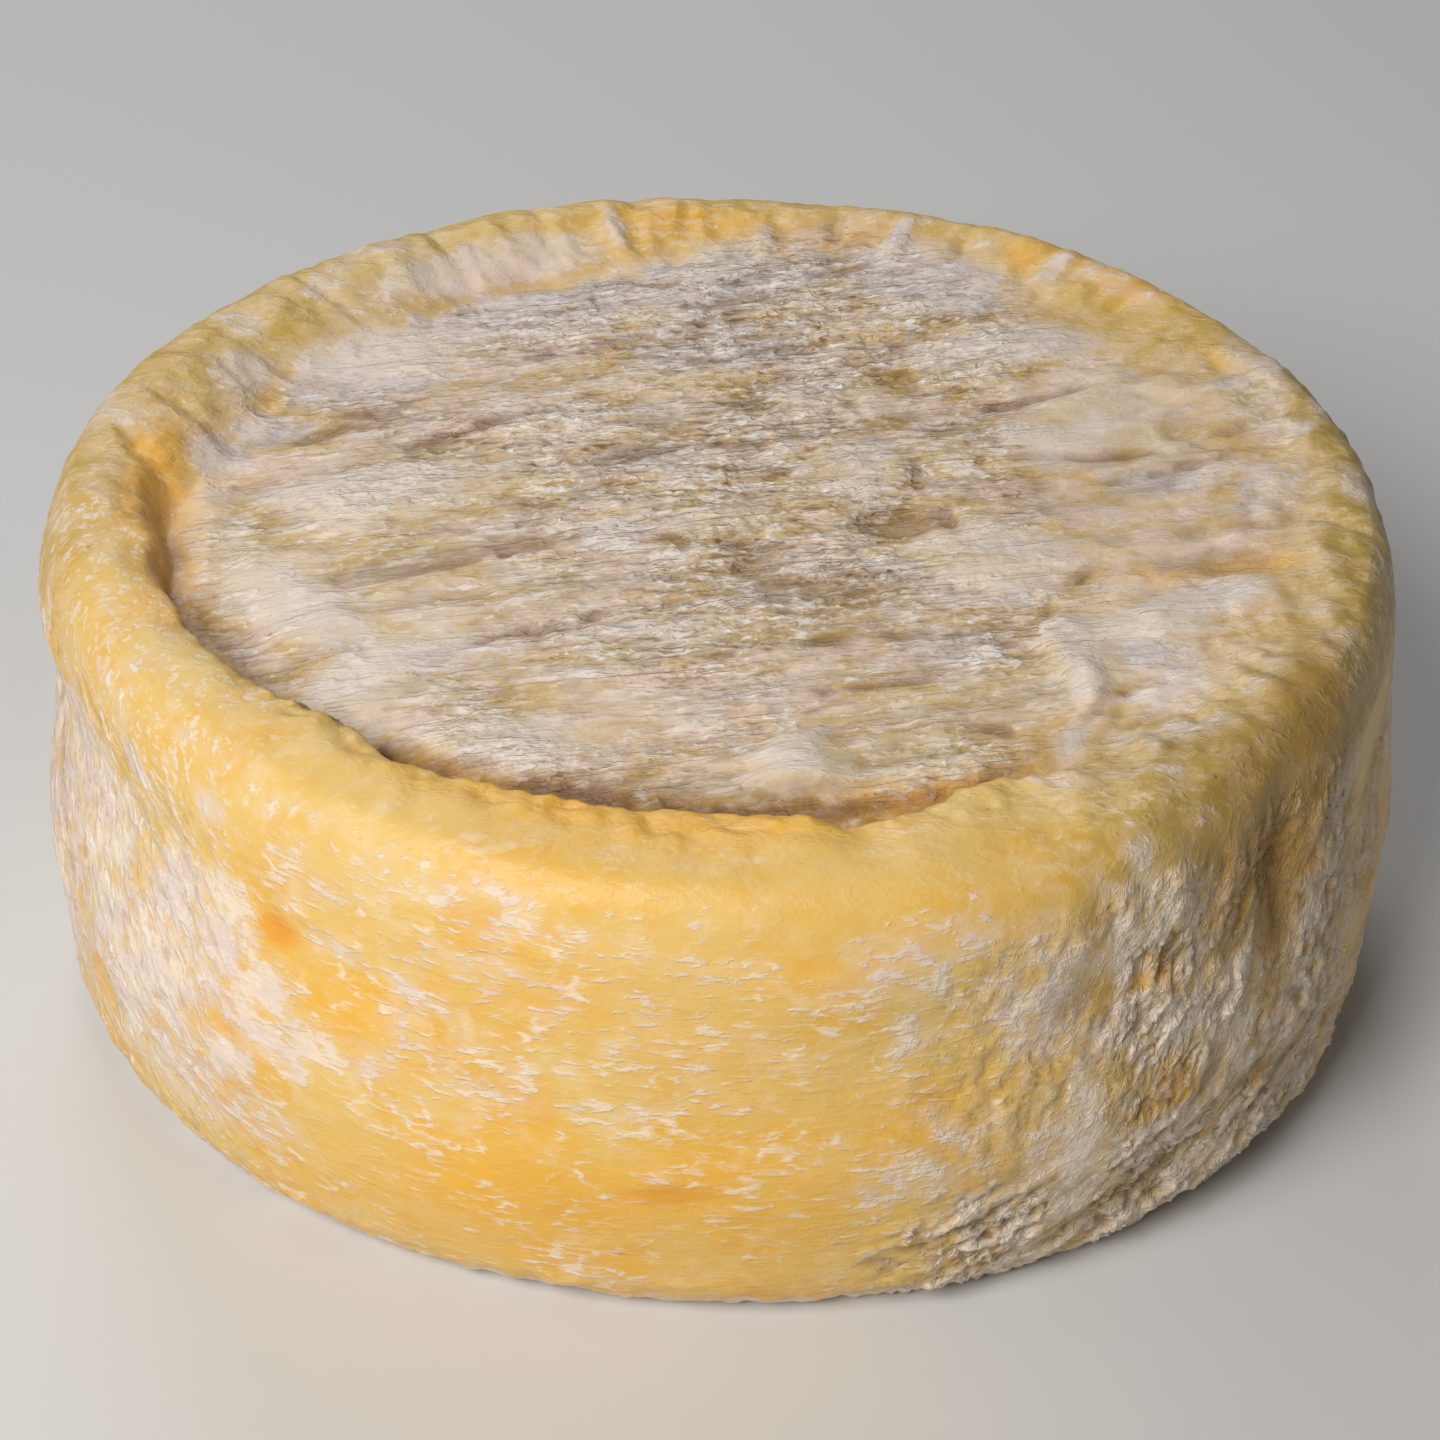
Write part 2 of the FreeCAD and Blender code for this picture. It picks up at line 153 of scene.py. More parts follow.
# creases: the same, with the depth of a thin valley
topCreases = [(24, 18.5, 9, 0.7, 17, 0.45), (34, 9.6, 7, 0.7, 4, 0.5), (44.5, 13.5, 6.5, 0.6, 34, 0.5),
              (-24, 12, 9, 0.7, 28, 0.5), (-4, 9.5, 12, 0.6, 14, 0.3), (17, 3, 0.7, 6, 20, 0.6),
              (-20, -8, 8, 0.6, 22, 0.45), (-2, -5.5, 5, 0.8, -4, 0.5), (-14, -18, 8, 0.6, 24, 0.4),
              (6, -20, 9, 0.6, 8, 0.4), (30, -29, 4, 0.6, 50, 0.4), (23.5, -32, 4, 0.6, -12, 0.4),
              (-36, 12, 5, 0.6, 35, 0.45), (2, 27, 7, 0.6, 20, 0.25), (-14, 27, 9, 0.6, 26, 0.25),
              (12, -26, 7, 0.6, 14, 0.35), (28, -12, 0.7, 4, -30, 0.5), (40, 8, 7, 0.6, 20, 0.35)]
# folds of the rim, all the way round; minus is a crease
rimFolds = [(27.8, -23.4, 3.2, 1.4, -64, 0.5), (29.3, -27.4, 2.4, 1.4, -80, 0.5),
            (28.8, -30.7, 2.4, 1.4, 65, 0.5), (26.8, -34.0, 2.4, 1.2, 53, 0.4),
            (22.6, -37.5, 3.8, 0.6, 20, -0.6), (33.2, -30.8, 4.4, 0.6, 21, -0.5),
            (35.2, -27.1, 4.2, 1.3, 13, 0.35), (33.4, -34.8, 2.4, 1.1, -81, 0.45),
            (33.3, -39.2, 2.8, 1.1, 81, 0.4), (36.4, -33.0, 1.8, 1.6, 0, 0.3),
            (26.1, -41.2, 3.0, 1.4, -20, 0.3), (42.1, -26.5, 3.2, 1.0, -55, 0.5),
            (44.7, -24.6, 2.2, 1.4, -40, 0.3), (39.6, -29.6, 3.0, 0.7, -50, -0.4),
            (47.5, -17, 4, 1.0, -70, -0.35), (50, -8, 5, 1.4, -80, 0.35), (44, -2, 5, 0.8, 15, -0.35),
            (51.5, -2, 3.6, 0.8, -26, -0.45), (49, 8, 4, 1.2, 60, 0.3), (44, 24, 5, 0.8, -50, -0.35),
            (44.5, 20.3, 3.4, 1.2, 22, 0.4), (36.5, 36.5, 3.5, 0.8, 46, -0.4),
            (33.5, 38.5, 3, 1.6, 50, 0.35), (29.6, 41.2, 3.4, 1.0, 54, 0.6),
            (21, 45.5, 3.2, 0.7, 66, -0.4), (15.1, 46.8, 3.4, 1.0, 72, 0.6), (9, 48.4, 3, 0.7, 80, -0.35),
            (2.3, 47, 3, 0.9, 87, 0.4), (-5, 48, 3.2, 0.7, 96, -0.4), (-12, 46.2, 3.4, 0.9, 105, 0.55),
            (-18.4, 44.5, 3.6, 0.7, 114, -0.45), (-23, 43.5, 3.4, 1.8, 119, 0.35),
            (-27.5, 41, 4, 0.7, 125, -0.35), (-32.5, 37.5, 4, 2, 132, 0.35),
            (-37.7, 32, 4.5, 0.8, 140, -0.5), (-41.5, 28, 4, 2, 148, 0.4),
            (-43.8, 22.5, 4.5, 0.7, 156, -0.3), (-46.5, 16.5, 4.5, 2, 150, 0.45),
            (-48.3, 11, 4.8, 0.8, 153, -0.45), (-41.2, 12, 2.6, 1.6, 10, 0.5),
            (-51, 4, 3.8, 0.9, 128, -0.5)]
# where the top is most crusted, and where it is smooth
crustedTop = [(2, 2, 16, 15, 20, 1.0), (6, 30, 26, 12, 0, 0.9), (-16, 14, 12, 7, 20, 0.5)]
smoothTop = [(33, 13, 8, 6, 20, 0.5), (-9, -31, 8, 4, 0, 0.7), (-33, 25, 8, 5, 35, 0.6),
             (6, -37.5, 3, 3.5, 75, 0.8), (-37, -17, 9, 3.5, -55, 0.6)]
# folds of the wall: angle, height, half length, half height, slant, depth; minus is a raised fold
wallFolds = [(193, 32.5, 5, 0.9, 42, 0.7), (199, 27, 7, 0.9, -40, 0.45), (211, 38, 8, 0.8, -38, 0.4),
             (321, 35, 1.0, 7, 8, 0.8), (326, 36, 1.6, 6, 12, -0.5), (313, 17, 1.0, 5, -25, 0.45),
             (306, 9.5, 7, 0.9, 38, 0.7), (309, 12, 6, 1.0, 36, -0.6), (291, 10.5, 8, 0.8, 24, 0.45),
             (294, 13, 7, 1.0, 20, -0.45), (303, 40, 0.9, 4, 18, -0.6), (307.5, 41, 0.9, 4.5, 10, -0.55),
             (313.5, 37, 0.8, 5, -8, -0.4), (310, 33, 0.8, 5, -30, 0.2), (316, 27, 0.8, 4, -15, -0.45),
             (233.6, 33, 2.0, 1.6, 0, 0.2), (239, 35.5, 4, 0.8, -10, -0.25), (318, 7, 9, 3.0, 20, -0.5),
             (325, 12, 8, 0.9, 30, 0.6), (267, 19.4, 1.0, 0.9, 0, -0.25)]

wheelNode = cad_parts["cheese_wheel"]
mesh = wheelNode.data.copy()
rindPiece = bpy.data.objects.new("rind", mesh)
bpy.context.scene.collection.objects.link(rindPiece)
mesh.materials.clear()
body = bmesh.new()
body.from_mesh(mesh)
bmesh.ops.remove_doubles(body, verts=body.verts, dist=rind["weld"] * mm)
body.to_mesh(mesh)
body.free()

bpy.context.view_layer.objects.active = rindPiece
rindPiece.select_set(True)
remesh = rindPiece.modifiers.new("evenSkin", "REMESH")
remesh.mode = "VOXEL"
remesh.voxel_size = rind["voxel"]
remesh.use_smooth_shade = True
bpy.ops.object.modifier_apply(modifier=remesh.name)
mesh = rindPiece.data

body = bmesh.new()
body.from_mesh(mesh)
sole = [f for f in body.faces if f.calc_center_median().z < rind["soleHeight"] * mm
        and math.hypot(*f.calc_center_median().xy) < rind["soleRadius"] * mm]
bmesh.ops.dissolve_faces(body, faces=sole, use_verts=True)
soleFace = max(body.faces, key=lambda f: f.calc_area())
bmesh.ops.triangulate(body, faces=[soleFace])
body.to_mesh(mesh)
body.free()
print("rind skin:", len(mesh.vertices), "vertices")


def readPoints(mesh):
    points = np.zeros(len(mesh.vertices) * 3)
    mesh.vertices.foreach_get("co", points)
    return points.reshape(-1, 3)


def readNormals(mesh):
    normals = np.zeros(len(mesh.vertices) * 3)
    mesh.vertex_normals.foreach_get("vector", normals)
    return normals.reshape(-1, 3)


# one even smoothing takes out the voxel steps, but not at the sole
points = readPoints(mesh)
edges = np.zeros(len(mesh.edges) * 2, int)
mesh.edges.foreach_get("vertices", edges)
edges = edges.reshape(-1, 2)
loose = ease((points[:, 2] / mm - 0.3) / 1.5)[:, None]
for smoothing in range(rind["smoothPasses"]):
    total = np.zeros_like(points)
    count = np.zeros(len(points))
    for a, b in ((0, 1), (1, 0)):
        np.add.at(total, edges[:, a], points[edges[:, b]])
        np.add.at(count, edges[:, a], 1)
    points += rind["smoothStep"] * loose * (total / count[:, None] - points)
mesh.vertices.foreach_set("co", points.ravel())
mesh.update()

place = points / mm
normals = readNormals(mesh)
spotX, spotY, height = place.T
angle = np.degrees(np.arctan2(spotY, spotX)) % 360.0
radius = np.hypot(spotX, spotY)

edgeAngles = [a for a, r in panelEdge] + [360]
edgeRadii = [r for a, r in panelEdge] + [panelEdge[0][1]]
edgeRadius = np.interp(angle, edgeAngles, edgeRadii)
above = ease((height - 40.5) / 2.0) * ease((56 - radius) / 3.0)
foldAngles, foldRadii, foldDepths = np.array(innerFold).T
foldRadius = np.interp(angle, foldAngles, foldRadii)
foldDepth = np.interp(angle, foldAngles, foldDepths, left=0.0, right=0.0) * above
ragged = lumps(place, 2.2, seed=11, octaves=3)
edgeSoftness = 2.2 + 8.0 * ease(1.6 - np.abs(turnTo(angle, 5)) / 50)      # the right side fades slowly
edgeSoftness += 2.8 * ease((angle - 60) / 20) * ease((200 - angle) / 20)
panel = ease((edgeRadius + 1.6 * ragged - radius) / edgeSoftness + 0.5) * ease((height - 40) / 2)
rim = ease((height - 41.5) / 3.0) * (1 - panel)
wall = ease((44 - height) / 4.0)
foot = ease((7.5 - height) / 4.5) * ease((height - 0.05) / 0.5) * wall
soleArea = ease((0.4 - height) / 0.4)
free = 1 - soleArea

# how shrivelled the wall is: strong on the right, soft on the left, in places at the back
right = ease((turnTo(angle, 286) + 5 + 7 * ragged) / 12) * ease((340 - angle) / 10) * ease((angle - 180) / 2)
rightTop = 40 + 6 * ease((angle - 280) / 22)
right *= ease((rightTop + 1.5 * ragged - height) / 4)
left = ease((turnTo(angle, 184) + 6) / 8) * ease((238 - angle) / 16) * ease((angle - 100) / 5)
right *= 0.5 + 0.5 * np.maximum(ease((angle - 298) / 8), ease((17 - height) / 5))
back = 1 - ease((turnTo(angle, 182)) / 8) * ease((334 - angle) / 8)
backPatch = back * ease(0.45 + 1.5 * lumps(place, 14, seed=23)) * ease((41 + 2 * ragged - height) / 4)
right = np.maximum(right, 0.65 * backPatch * ease((np.abs(turnTo(angle, 90)) - 4) / 6))
dull = np.maximum(ease((turnTo(angle, 300) + 12) / 24) * ease((176 - turnTo(angle, 300)) / 10),
                  0.6 * ease((204 - angle) / 14) * ease((angle - 90) / 10))
dull *= 1 - 0.6 * ease((angle - 22) / 20) * ease((130 - angle) / 20)
dull *= (1 - panel) * ease((height - 38) / 4)

print("relief on the top")
bent = place + np.stack([1.8 * lumps(place, 8, seed=seed) for seed in (31, 37, 41)], 1)
slant = rind["matSlant"]
straws = ridges(bent, 2.6, (3.0, 1, 1), slant, 5, 2)
flakes = ridges(bent, 1.2, (1.5, 1, 1), slant - 6, 9, 2)
crusted = 0.35 + 0.4 * ease(0.5 + 1.3 * lumps(place, 10, seed=3))
crusted += 0.5 * onTop(crustedTop, 0.7)
crusted *= 1 - 0.75 * onTop(smoothTop)
calm = above * np.maximum(ease((spotX - 20) / 14), 1 - panel)      # plain soft skin without straw marks
crusted *= 1 - 0.6 * calm
relief = panel * rind["crust"] * (0.45 * straws + crusted * (0.75 * flakes - 0.2) - 0.25)
relief += panel * rind["lump"] * lumps(bent, 6.5, (1.8, 1, 1), slant, 13, 2)
relief += onTop(topLobes, 0.6) - onTop(topHollows, 0.6)
relief += calm * rind["softDent"] * lumps(bent, 4.2, seed=15, octaves=3)
broken = ease(0.7 + 1.6 * lumps(place, 4.5, seed=17))
crease = onTop(topCreases, 0.9) * broken
relief -= crease
relief += raisedBy(onTop, rimFolds) * (0.8 + 0.5 * ragged)

print("relief on the rim")
relief += rim * rind["rimWave"] * lumps(place, 7, seed=51, octaves=3)
innerWall = ease((height - 43) / 2) * ease((51.5 - radius) / 2) * ease((radius - 42) / 2)
rounds = np.stack([radius * 0.55, np.radians(angle) * 46, height], 1)
puckers = ridges(rounds, 4.2, (2.2, 1, 1), 24, 61, 2) - 0.4
backwards = ease((np.abs(turnTo(angle, 270)) - 66) / 20) * ease(np.abs(turnTo(angle, 0)) / 6)
relief += dull * rind["knobs"] * (lumps(bent, 2.4, (1.5, 1, 1), 30, 57, 3) + 0.6 * lumps(place, 5, seed=58))
relief += innerWall * rind["pucker"] * puckers * backwards * (1 - panel)
frill = innerWall * (1 - backwards) * ease((51 - radius) / 2)
relief += frill * rind["frill"] * lumps(place, 2.1, seed=67, octaves=3)
turnedIn = foldDepth * ease(1.5 - np.abs(radius - foldRadius + 0.7 * ragged) / 1.4)
relief -= rind["innerFold"] * turnedIn * (0.7 + 0.6 * ragged)
radial = np.stack([radius * 0.4, np.radians(np.abs(turnTo(angle, 0))) * 52, height * 0.5], 1)
strokesAcross = lumps(radial, 1.5, seed=53, octaves=2)
relief += rim * rind["rimStroke"] * strokesAcross * ease((np.abs(turnTo(angle, 270)) - 75) / 25)

print("relief on the wall")
along = np.radians(turnTo(angle, 270) + 270) * wallRadius     # its ends meet at 90 degrees, on plain skin


def leaning(slope):   # the unrolled wall turned so that x runs along strokes of that slope
    lean = math.radians(slope)
    return np.stack([along * math.cos(lean) + height * math.sin(lean),
                     height * math.cos(lean) - along * math.sin(lean), radius], 1)


warped = np.stack([0.9 * lumps(place, 5, seed=seed) for seed in (43, 45, 47)], 1)
upper, lower = leaning(80) + warped, leaning(38) + warped


def shrivelled(skin):
    fine = 0.7 * ridges(skin, 1.7, (2.4, 1, 1), 0, 71, 3) + 0.4 * ridges(skin, 0.95, (1.7, 1, 1), 0, 73, 2)
    coarse = 0.6 * ridges(skin, 3.4, (2.2, 1, 1), 0, 70, 2) + 0.7 * lumps(skin, 5.0, (1.8, 1, 1), 0, 75, 2)
    return fine + coarse - 0.65


low = ease((19 + 4 * ragged - height) / 8)
wrinkles = shrivelled(upper) * (1 - low) + shrivelled(lower) * low
wrinkles *= 0.35 + 0.65 * ease(0.55 + 1.5 * lumps(place, 8, seed=76))
relief += wall * right * rind["wrinkle"] * wrinkles * (1 + 0.5 * low)
drooping = leaning(-48) + np.stack([1.2 * lumps(place, 6, seed=seed) for seed in (57, 58, 59)], 1)
softFolds = ridges(drooping, 3.0, (2.6, 1, 1), 0, 79, 2) - 0.45
softFolds += 0.4 * ridges(drooping, 1.2, (1.8, 1, 1), 0, 77, 2)
softFolds *= 0.4 + 0.6 * ease(0.5 + 1.4 * lumps(place, 9, seed=78))
relief += wall * left * rind["leftFold"] * softFolds
strokes = lumps(place, 0.9, (5, 5, 1), 0, 83, 2)
relief += wall * (1 - right) * rind["stroke"] * strokes
relief += wall * rind["wallWave"] * lumps(place, 5, seed=87, octaves=2)
relief += foot * rind["ruffle"] * lumps(place, 1.6, (1.3, 1.3, 1), 0, 89, 3)
relief -= wall * raisedBy(onSide, wallFolds) * (0.7 + 0.5 * ragged)

relief *= free
points = points + normals * (relief * mm)[:, None]
points[:, 2] = np.maximum(points[:, 2], 0.0)
mesh.vertices.foreach_set("co", points.ravel())
mesh.update()


def paint(mesh, name, values):
    layer = mesh.attributes.new(name, "FLOAT", "POINT")
    layer.data.foreach_set("value", np.clip(values, 0.0, 1.0))


# White-lilac bloom. On the wall: angle, height, half length, half height in mm, slant, strength.
# On the top: x, y, half length, half width, slant, strength.
wallBloom = [(193, 20, 12, 18, 0, 1.0), (205, 30, 7, 9, 0, 0.85), (203, 17, 5, 8, 0, 0.9),
             (206, 36, 6, 4, -20, 0.7), (213, 23, 7, 6, 0, 0.85), (215, 16, 3, 5, 0, 0.95),
             (222, 30, 6, 5, -50, 0.8), (226, 27, 5, 4, -50, 0.75), (231, 25, 3.5, 5, 10, 0.75),
             (235, 21.5, 3.2, 1.8, 15, 0.85), (229, 34, 4, 1.6, -30, 0.6), (217, 39, 5, 1.3, -48, 0.7),
             (225, 45.5, 7, 1.2, 4, 0.5), (227, 41.5, 2.2, 1.4, 0, 0.75), (239.5, 34.5, 4, 1.3, -12, 0.8),
             (237, 41, 1.8, 1.2, 30, 0.6), (243, 41, 2.0, 1.6, 0, 0.5), (245, 30, 1.4, 1.2, 0, 0.95),
             (247, 35, 1.2, 3.0, 0, 0.65), (243.5, 26, 2.6, 1.1, 0, 0.7), (253, 27, 9, 4.5, -4, 0.55),
             (253, 39.5, 1.2, 2.8, 0, 0.65), (253.5, 21.5, 4.5, 1.3, 0, 0.4), (245, 43, 8, 2.4, 0, 0.6),
             (251, 42, 5, 1.8, 0, 0.6), (230, 44, 9, 2.0, 0, 0.4), (211, 45, 8, 3, 0, 0.4),
             (263, 36, 17, 10, 0, 0.4), (251, 24, 5, 3, 0, 0.6), (221, 24, 5, 6, 0, 1.0),
             (211, 31, 6, 5, 0, 0.9), (253, 42.5, 7, 2.4, 0, 0.85), (238, 40.5, 5, 2.4, 0, 0.7),
             (254, 37, 4, 2.4, 0, 0.7), (270, 40, 5, 2.4, 0, 0.6), (270, 27.5, 5, 2.4, 0, 0.6),
             (279, 38.5, 4, 2.4, 0, 0.6), (192, 15, 9, 8, 0, 1.0), (242, 25, 4, 2, 0, 0.85),
             (247, 33, 3, 3.4, 0, 0.75), (235, 37.5, 4, 2.5, -20, 0.6), (230, 14, 6, 4, 0, 0.7),
             (228, 18, 5, 4, 0, 0.85), (228, 31, 5, 4, -50, 0.95), (233, 27, 5, 3.4, 0, 0.95),
             (236, 23, 4, 2.6, 15, 0.95), (223, 16, 5, 6, 0, 0.8), (219, 21, 5, 6, 0, 0.9),
             (292, 13, 6, 4, 20, 0.65), (309, 12, 5, 4, 0, 0.8), (304, 28, 4, 5, 0, 0.7),
             (309, 33, 3, 4, 0, 0.8), (284, 18, 4, 3.5, 0, 0.75), (286, 42, 7, 2.6, 4, 0.6),
             (302, 42, 5, 2, 0, 0.35), (297, 18, 4, 5, 0, 0.7), (287, 22, 4, 4, 0, 0.7),
             (263, 27, 5, 5, 0, 0.55), (246, 22, 4, 1.5, 0, 0.6), (258, 23.5, 3, 2.5, 0, 0.3),
             (240, 23, 2, 1.2, 0, 0.7), (237, 27, 1.4, 1.2, 0, 0.8), (236, 14, 4, 2, 0, 0.3),
             (262, 6, 5, 2.5, 0, 0.5), (248, 38, 2, 1.5, 0, 0.4), (267, 19.4, 1.6, 1.3, 0, 1.1),
             (253.5, 15, 1.4, 1.4, 0, 0.5), (257, 12, 5, 2, 0, 0.3), (222, 10.5, 12, 2.5, 0, 0.55),
             (274, 32.5, 2.4, 0.9, 0, 0.6), (275, 37, 1.2, 1.2, 0, 0.5), (284.5, 39.5, 7, 4.0, 6, 0.75),
             (285, 33, 2.4, 5, 0, 0.65), (296, 32, 5, 6, 0, 0.7), (286, 22, 4, 4, 0, 0.5),
             (316, 22, 4, 5, 0, 0.8), (292, 39, 5, 5, 0, 0.5), (298, 35, 4, 7, 0, 0.5),
             (303.5, 38, 2.0, 7.5, 0, 0.95), (308.5, 40, 1.6, 4.5, 0, 0.85), (307, 26, 6, 4.5, 0, 0.8),
             (312, 21, 1.6, 4, 20, 0.9), (317.5, 27.5, 3.4, 3, 0, 0.95), (314, 34, 1.6, 5, 0, 0.6),
             (300.5, 20, 2.4, 9, 0, 0.85), (306.5, 15.5, 5.5, 2.4, -10, 0.85), (289, 19, 4.5, 5, 0, 0.62),
             (297, 10, 9, 2.2, 14, 0.7), (322, 8, 10, 3, 0, 0.5), (326, 33, 4, 8, 0, 0.75),
             (334, 22, 7, 12, 0, 0.6), (352, 30, 9, 12, 0, 0.6), (12, 20, 10, 12, 0, 0.5),
             (30, 34, 8, 6, 20, 0.6), (48, 14, 10, 8, 0, 0.6), (70, 30, 12, 8, 10, 0.5),
             (95, 18, 10, 10, 0, 0.6), (120, 33, 10, 6, -10, 0.5), (140, 16, 12, 8, 0, 0.6),
             (165, 30, 9, 8, 0, 0.7), (176, 16, 10, 13, 0, 0.95)]
topBloom = [(-34, 23, 8, 7, 30, 1.0), (-22, 33, 12, 6, 25, 0.95), (-5, 39, 14, 5, 5, 0.9),
            (8, 41, 8, 3.4, 10, 0.5), (-31, 2, 8, 5, 10, 0.75), (-35, -16, 9, 3.6, -55, 0.75),
            (-1, 26, 9, 3, 5, 0.9), (19, -20, 4.5, 3, 0, 0.8), (-25, -23, 8, 2, 8, 0.7),
            (-30, -26, 5.5, 2.8, 40, 0.75), (-17, -36, 5, 2.4, 15, 0.8), (6, -36.5, 3, 3.4, 75, 0.9),
            (-10, -5, 3, 2.5, 0, 0.9), (11, 8, 3, 4, 20, 0.7), (24, -6, 6, 4, 0, 0.6),
            (38, -14, 8, 2.4, 25, 0.7), (28, -21, 2, 6, 10, 0.75), (34, -20, 5, 2.4, 30, 0.6),
            (23, -13, 5, 2.4, 10, 0.4), (13, -10, 4, 2.5, 0, 0.7), (-8, 8, 5, 3, 10, 0.7),
            (3, -14, 5, 2, 5, 0.6), (37, -26, 3.5, 2.5, 0, 0.65), (31, 13, 8, 6, 20, 0.6),
            (36.5, 5, 5, 3, 0, 0.75), (35.7, -22, 4, 3, 0, 0.7), (24, 27, 8, 3, 10, 0.85),
            (18, 39, 9, 5, -10, 0.85), (-3, 30, 5, 4, 0, 0.65), (-7, -19, 8, 2, 8, 0.6),
            (-21, -12, 8, 2, 15, 0.5), (43, 18, 6, 4, 60, 0.5), (28.5, -26, 1.6, 5, 0, 0.8),
            (27.5, -33, 1.4, 3, -25, 0.7), (35.2, -27.1, 4, 1.2, 13, 1.0), (36.4, -33, 1.8, 1.5, 0, 0.8),
            (26.1, -41.2, 3.2, 1.4, -20, 0.6), (44.7, -24.6, 2, 1.3, -40, 0.8),
            (33.4, -36, 1.0, 3, 0, 0.5), (41, -13, 5, 2.4, 20, 0.8), (47, 4, 4, 6, 0, 0.6),
            (46, 20, 4, 6, 20, 0.6), (-6, -12, 7, 2, 5, 0.55), (14, -35, 6, 3, -10, 0.2),
            (-12, 14, 8, 3, 10, 0.5), (6, 20, 6, 2, 0, 0.55)]
# where tan and olive skin shows through on the top
oliveSpots = [(18, -30, 6, 3, 10, 0.5), (1.5, -40.6, 8, 1.5, 0, 0.5), (-13, -40, 6, 1.5, -12, 0.5),
              (-44, -8, 3, 9, 10, 0.8), (-17, 0, 9, 2.2, 16, 0.35), (-27, -9, 8, 1.6, 20, 0.4),
              (2.2, -9, 2.0, 2.0, 60, 0.5), (14, -2, 3.2, 2.4, 0, 0.75), (15.5, -35, 8, 3.6, 8, 0.85),
              (24, -30, 4, 3, 30, 0.7), (27, -26.5, 3, 2.4, 30, 0.5), (-3.4, -21.5, 5, 1.6, 0, 0.6),
              (-24.6, -27, 4, 1.6, 20, 0.5), (33, 17, 6, 2.5, 20, 0.6), (36, 11, 5, 3, 10, 0.65),
              (-18, -14, 7, 2.4, 15, 0.55), (7, -17.5, 6, 2.4, 10, 0.6), (2, -41.5, 8, 2.0, 3, 0.85),
              (2, -12, 5, 1.6, 5, 0.5), (-21, -38.5, 5, 1.6, -30, 0.8), (8, -13, 6, 1.8, 0, 0.45),
              (23, -27, 4.5, 3.4, 20, 0.6), (15, 22, 2.0, 2.6, 60, 0.9), (1.5, 17.5, 1.6, 1.6, 0, 0.8),
              (-30, 8, 7, 1.2, 22, 0.5), (-2, -6, 5, 1.0, 0, 0.5), (17, 33, 5, 2, -20, 0.4),
              (22, -17, 5, 1.4, 10, 0.25), (-16, -14, 6, 1.4, 10, 0.5), (-40, -7, 2.4, 7, 10, 0.4),
              (33, -31, 4, 3, 30, 0.3)]
# pale cream folds and patches of the rim; the two on the left inner wall, at (-45, 7) and (-44, 19), are
# painted light over the rim's shade
rimBloomAndLight = [(-12, 46, 3.2, 1.0, 105, 1.0), (15.1, 46.8, 3.4, 1.1, 72, 1.0),
            (29.6, 41.2, 3.6, 1.2, 54, 1.0), (2.3, 47, 2.4, 0.8, 87, 0.7), (-19, 41.5, 8, 3, 18, 0.9),
            (-26, 38, 7, 3, 28, 0.9), (-33, 33, 5, 3, 45, 0.6), (28, -22, 4, 1.6, -62, 0.5),
            (35, -29, 4.5, 1.6, 25, 0.75), (37, -34, 3.4, 1.8, 30, 0.65), (-41, 12, 4, 2.6, 10, 0.85),
            (-46, 19, 4, 2, 60, 0.5), (44.5, 20.3, 3, 1.2, 22, 1.0), (49, 12, 2.2, 1.0, 20, 0.8),
            (-50, 8, 3, 1.6, 70, 0.5), (-45, 7, 4, 2.6, 60, 0.9), (-44, 19, 4, 2.6, 60, 0.9),
            (33, 41, 3, 1.0, 30, 0.8), (45.5, 27, 3, 1.4, 40, 0.5), (47, 2, 3.4, 3, 0, 0.5)]
# warm orange glow: on the wall, then on the top
wallGlow = [(252, 12.5, 4, 2.2, 0, 1.0), (233.8, 33.3, 1.8, 1.4, 0, 1.0), (240, 29, 4, 2.2, -10, 0.5),
            (253, 15, 7, 5, 0, 1.0), (267, 17.6, 6, 3.4, 0, 1.0), (258, 8, 10, 3, 0, 0.6),
            (269, 19, 5, 2.6, 0, 1.0), (259, 35, 4, 2.2, 0, 0.6), (242, 30, 4, 2.4, 0, 0.6),
            (262, 15, 5, 3, 0, 0.8), (275, 16, 8, 6, 0, 0.65), (260, 36.5, 4, 2.5, 0, 0.5),
            (276, 40, 5, 3, 0, 0.5), (243, 12, 6, 5, 0, 0.35), (268, 33, 8, 4, 0, 0.35),
            (258, 36, 7, 4, 0, 0.3), (270, 43, 8, 3, 0, 0.3), (232, 38, 5, 2, 0, 0.4),
            (284, 24, 5, 4, 0, 0.45), (311, 20, 5, 3, 0, 0.35), (205, 11, 5, 3, 0, 0.3),
            (254, 21, 5, 2.5, 0, 0.5), (60, 24, 8, 6, 0, 0.5), (130, 22, 8, 6, 0, 0.5),
            (20, 8, 8, 4, 0, 0.4), (155, 20, 7, 5, 0, 0.4), (100, 36, 9, 4, 0, 0.4)]
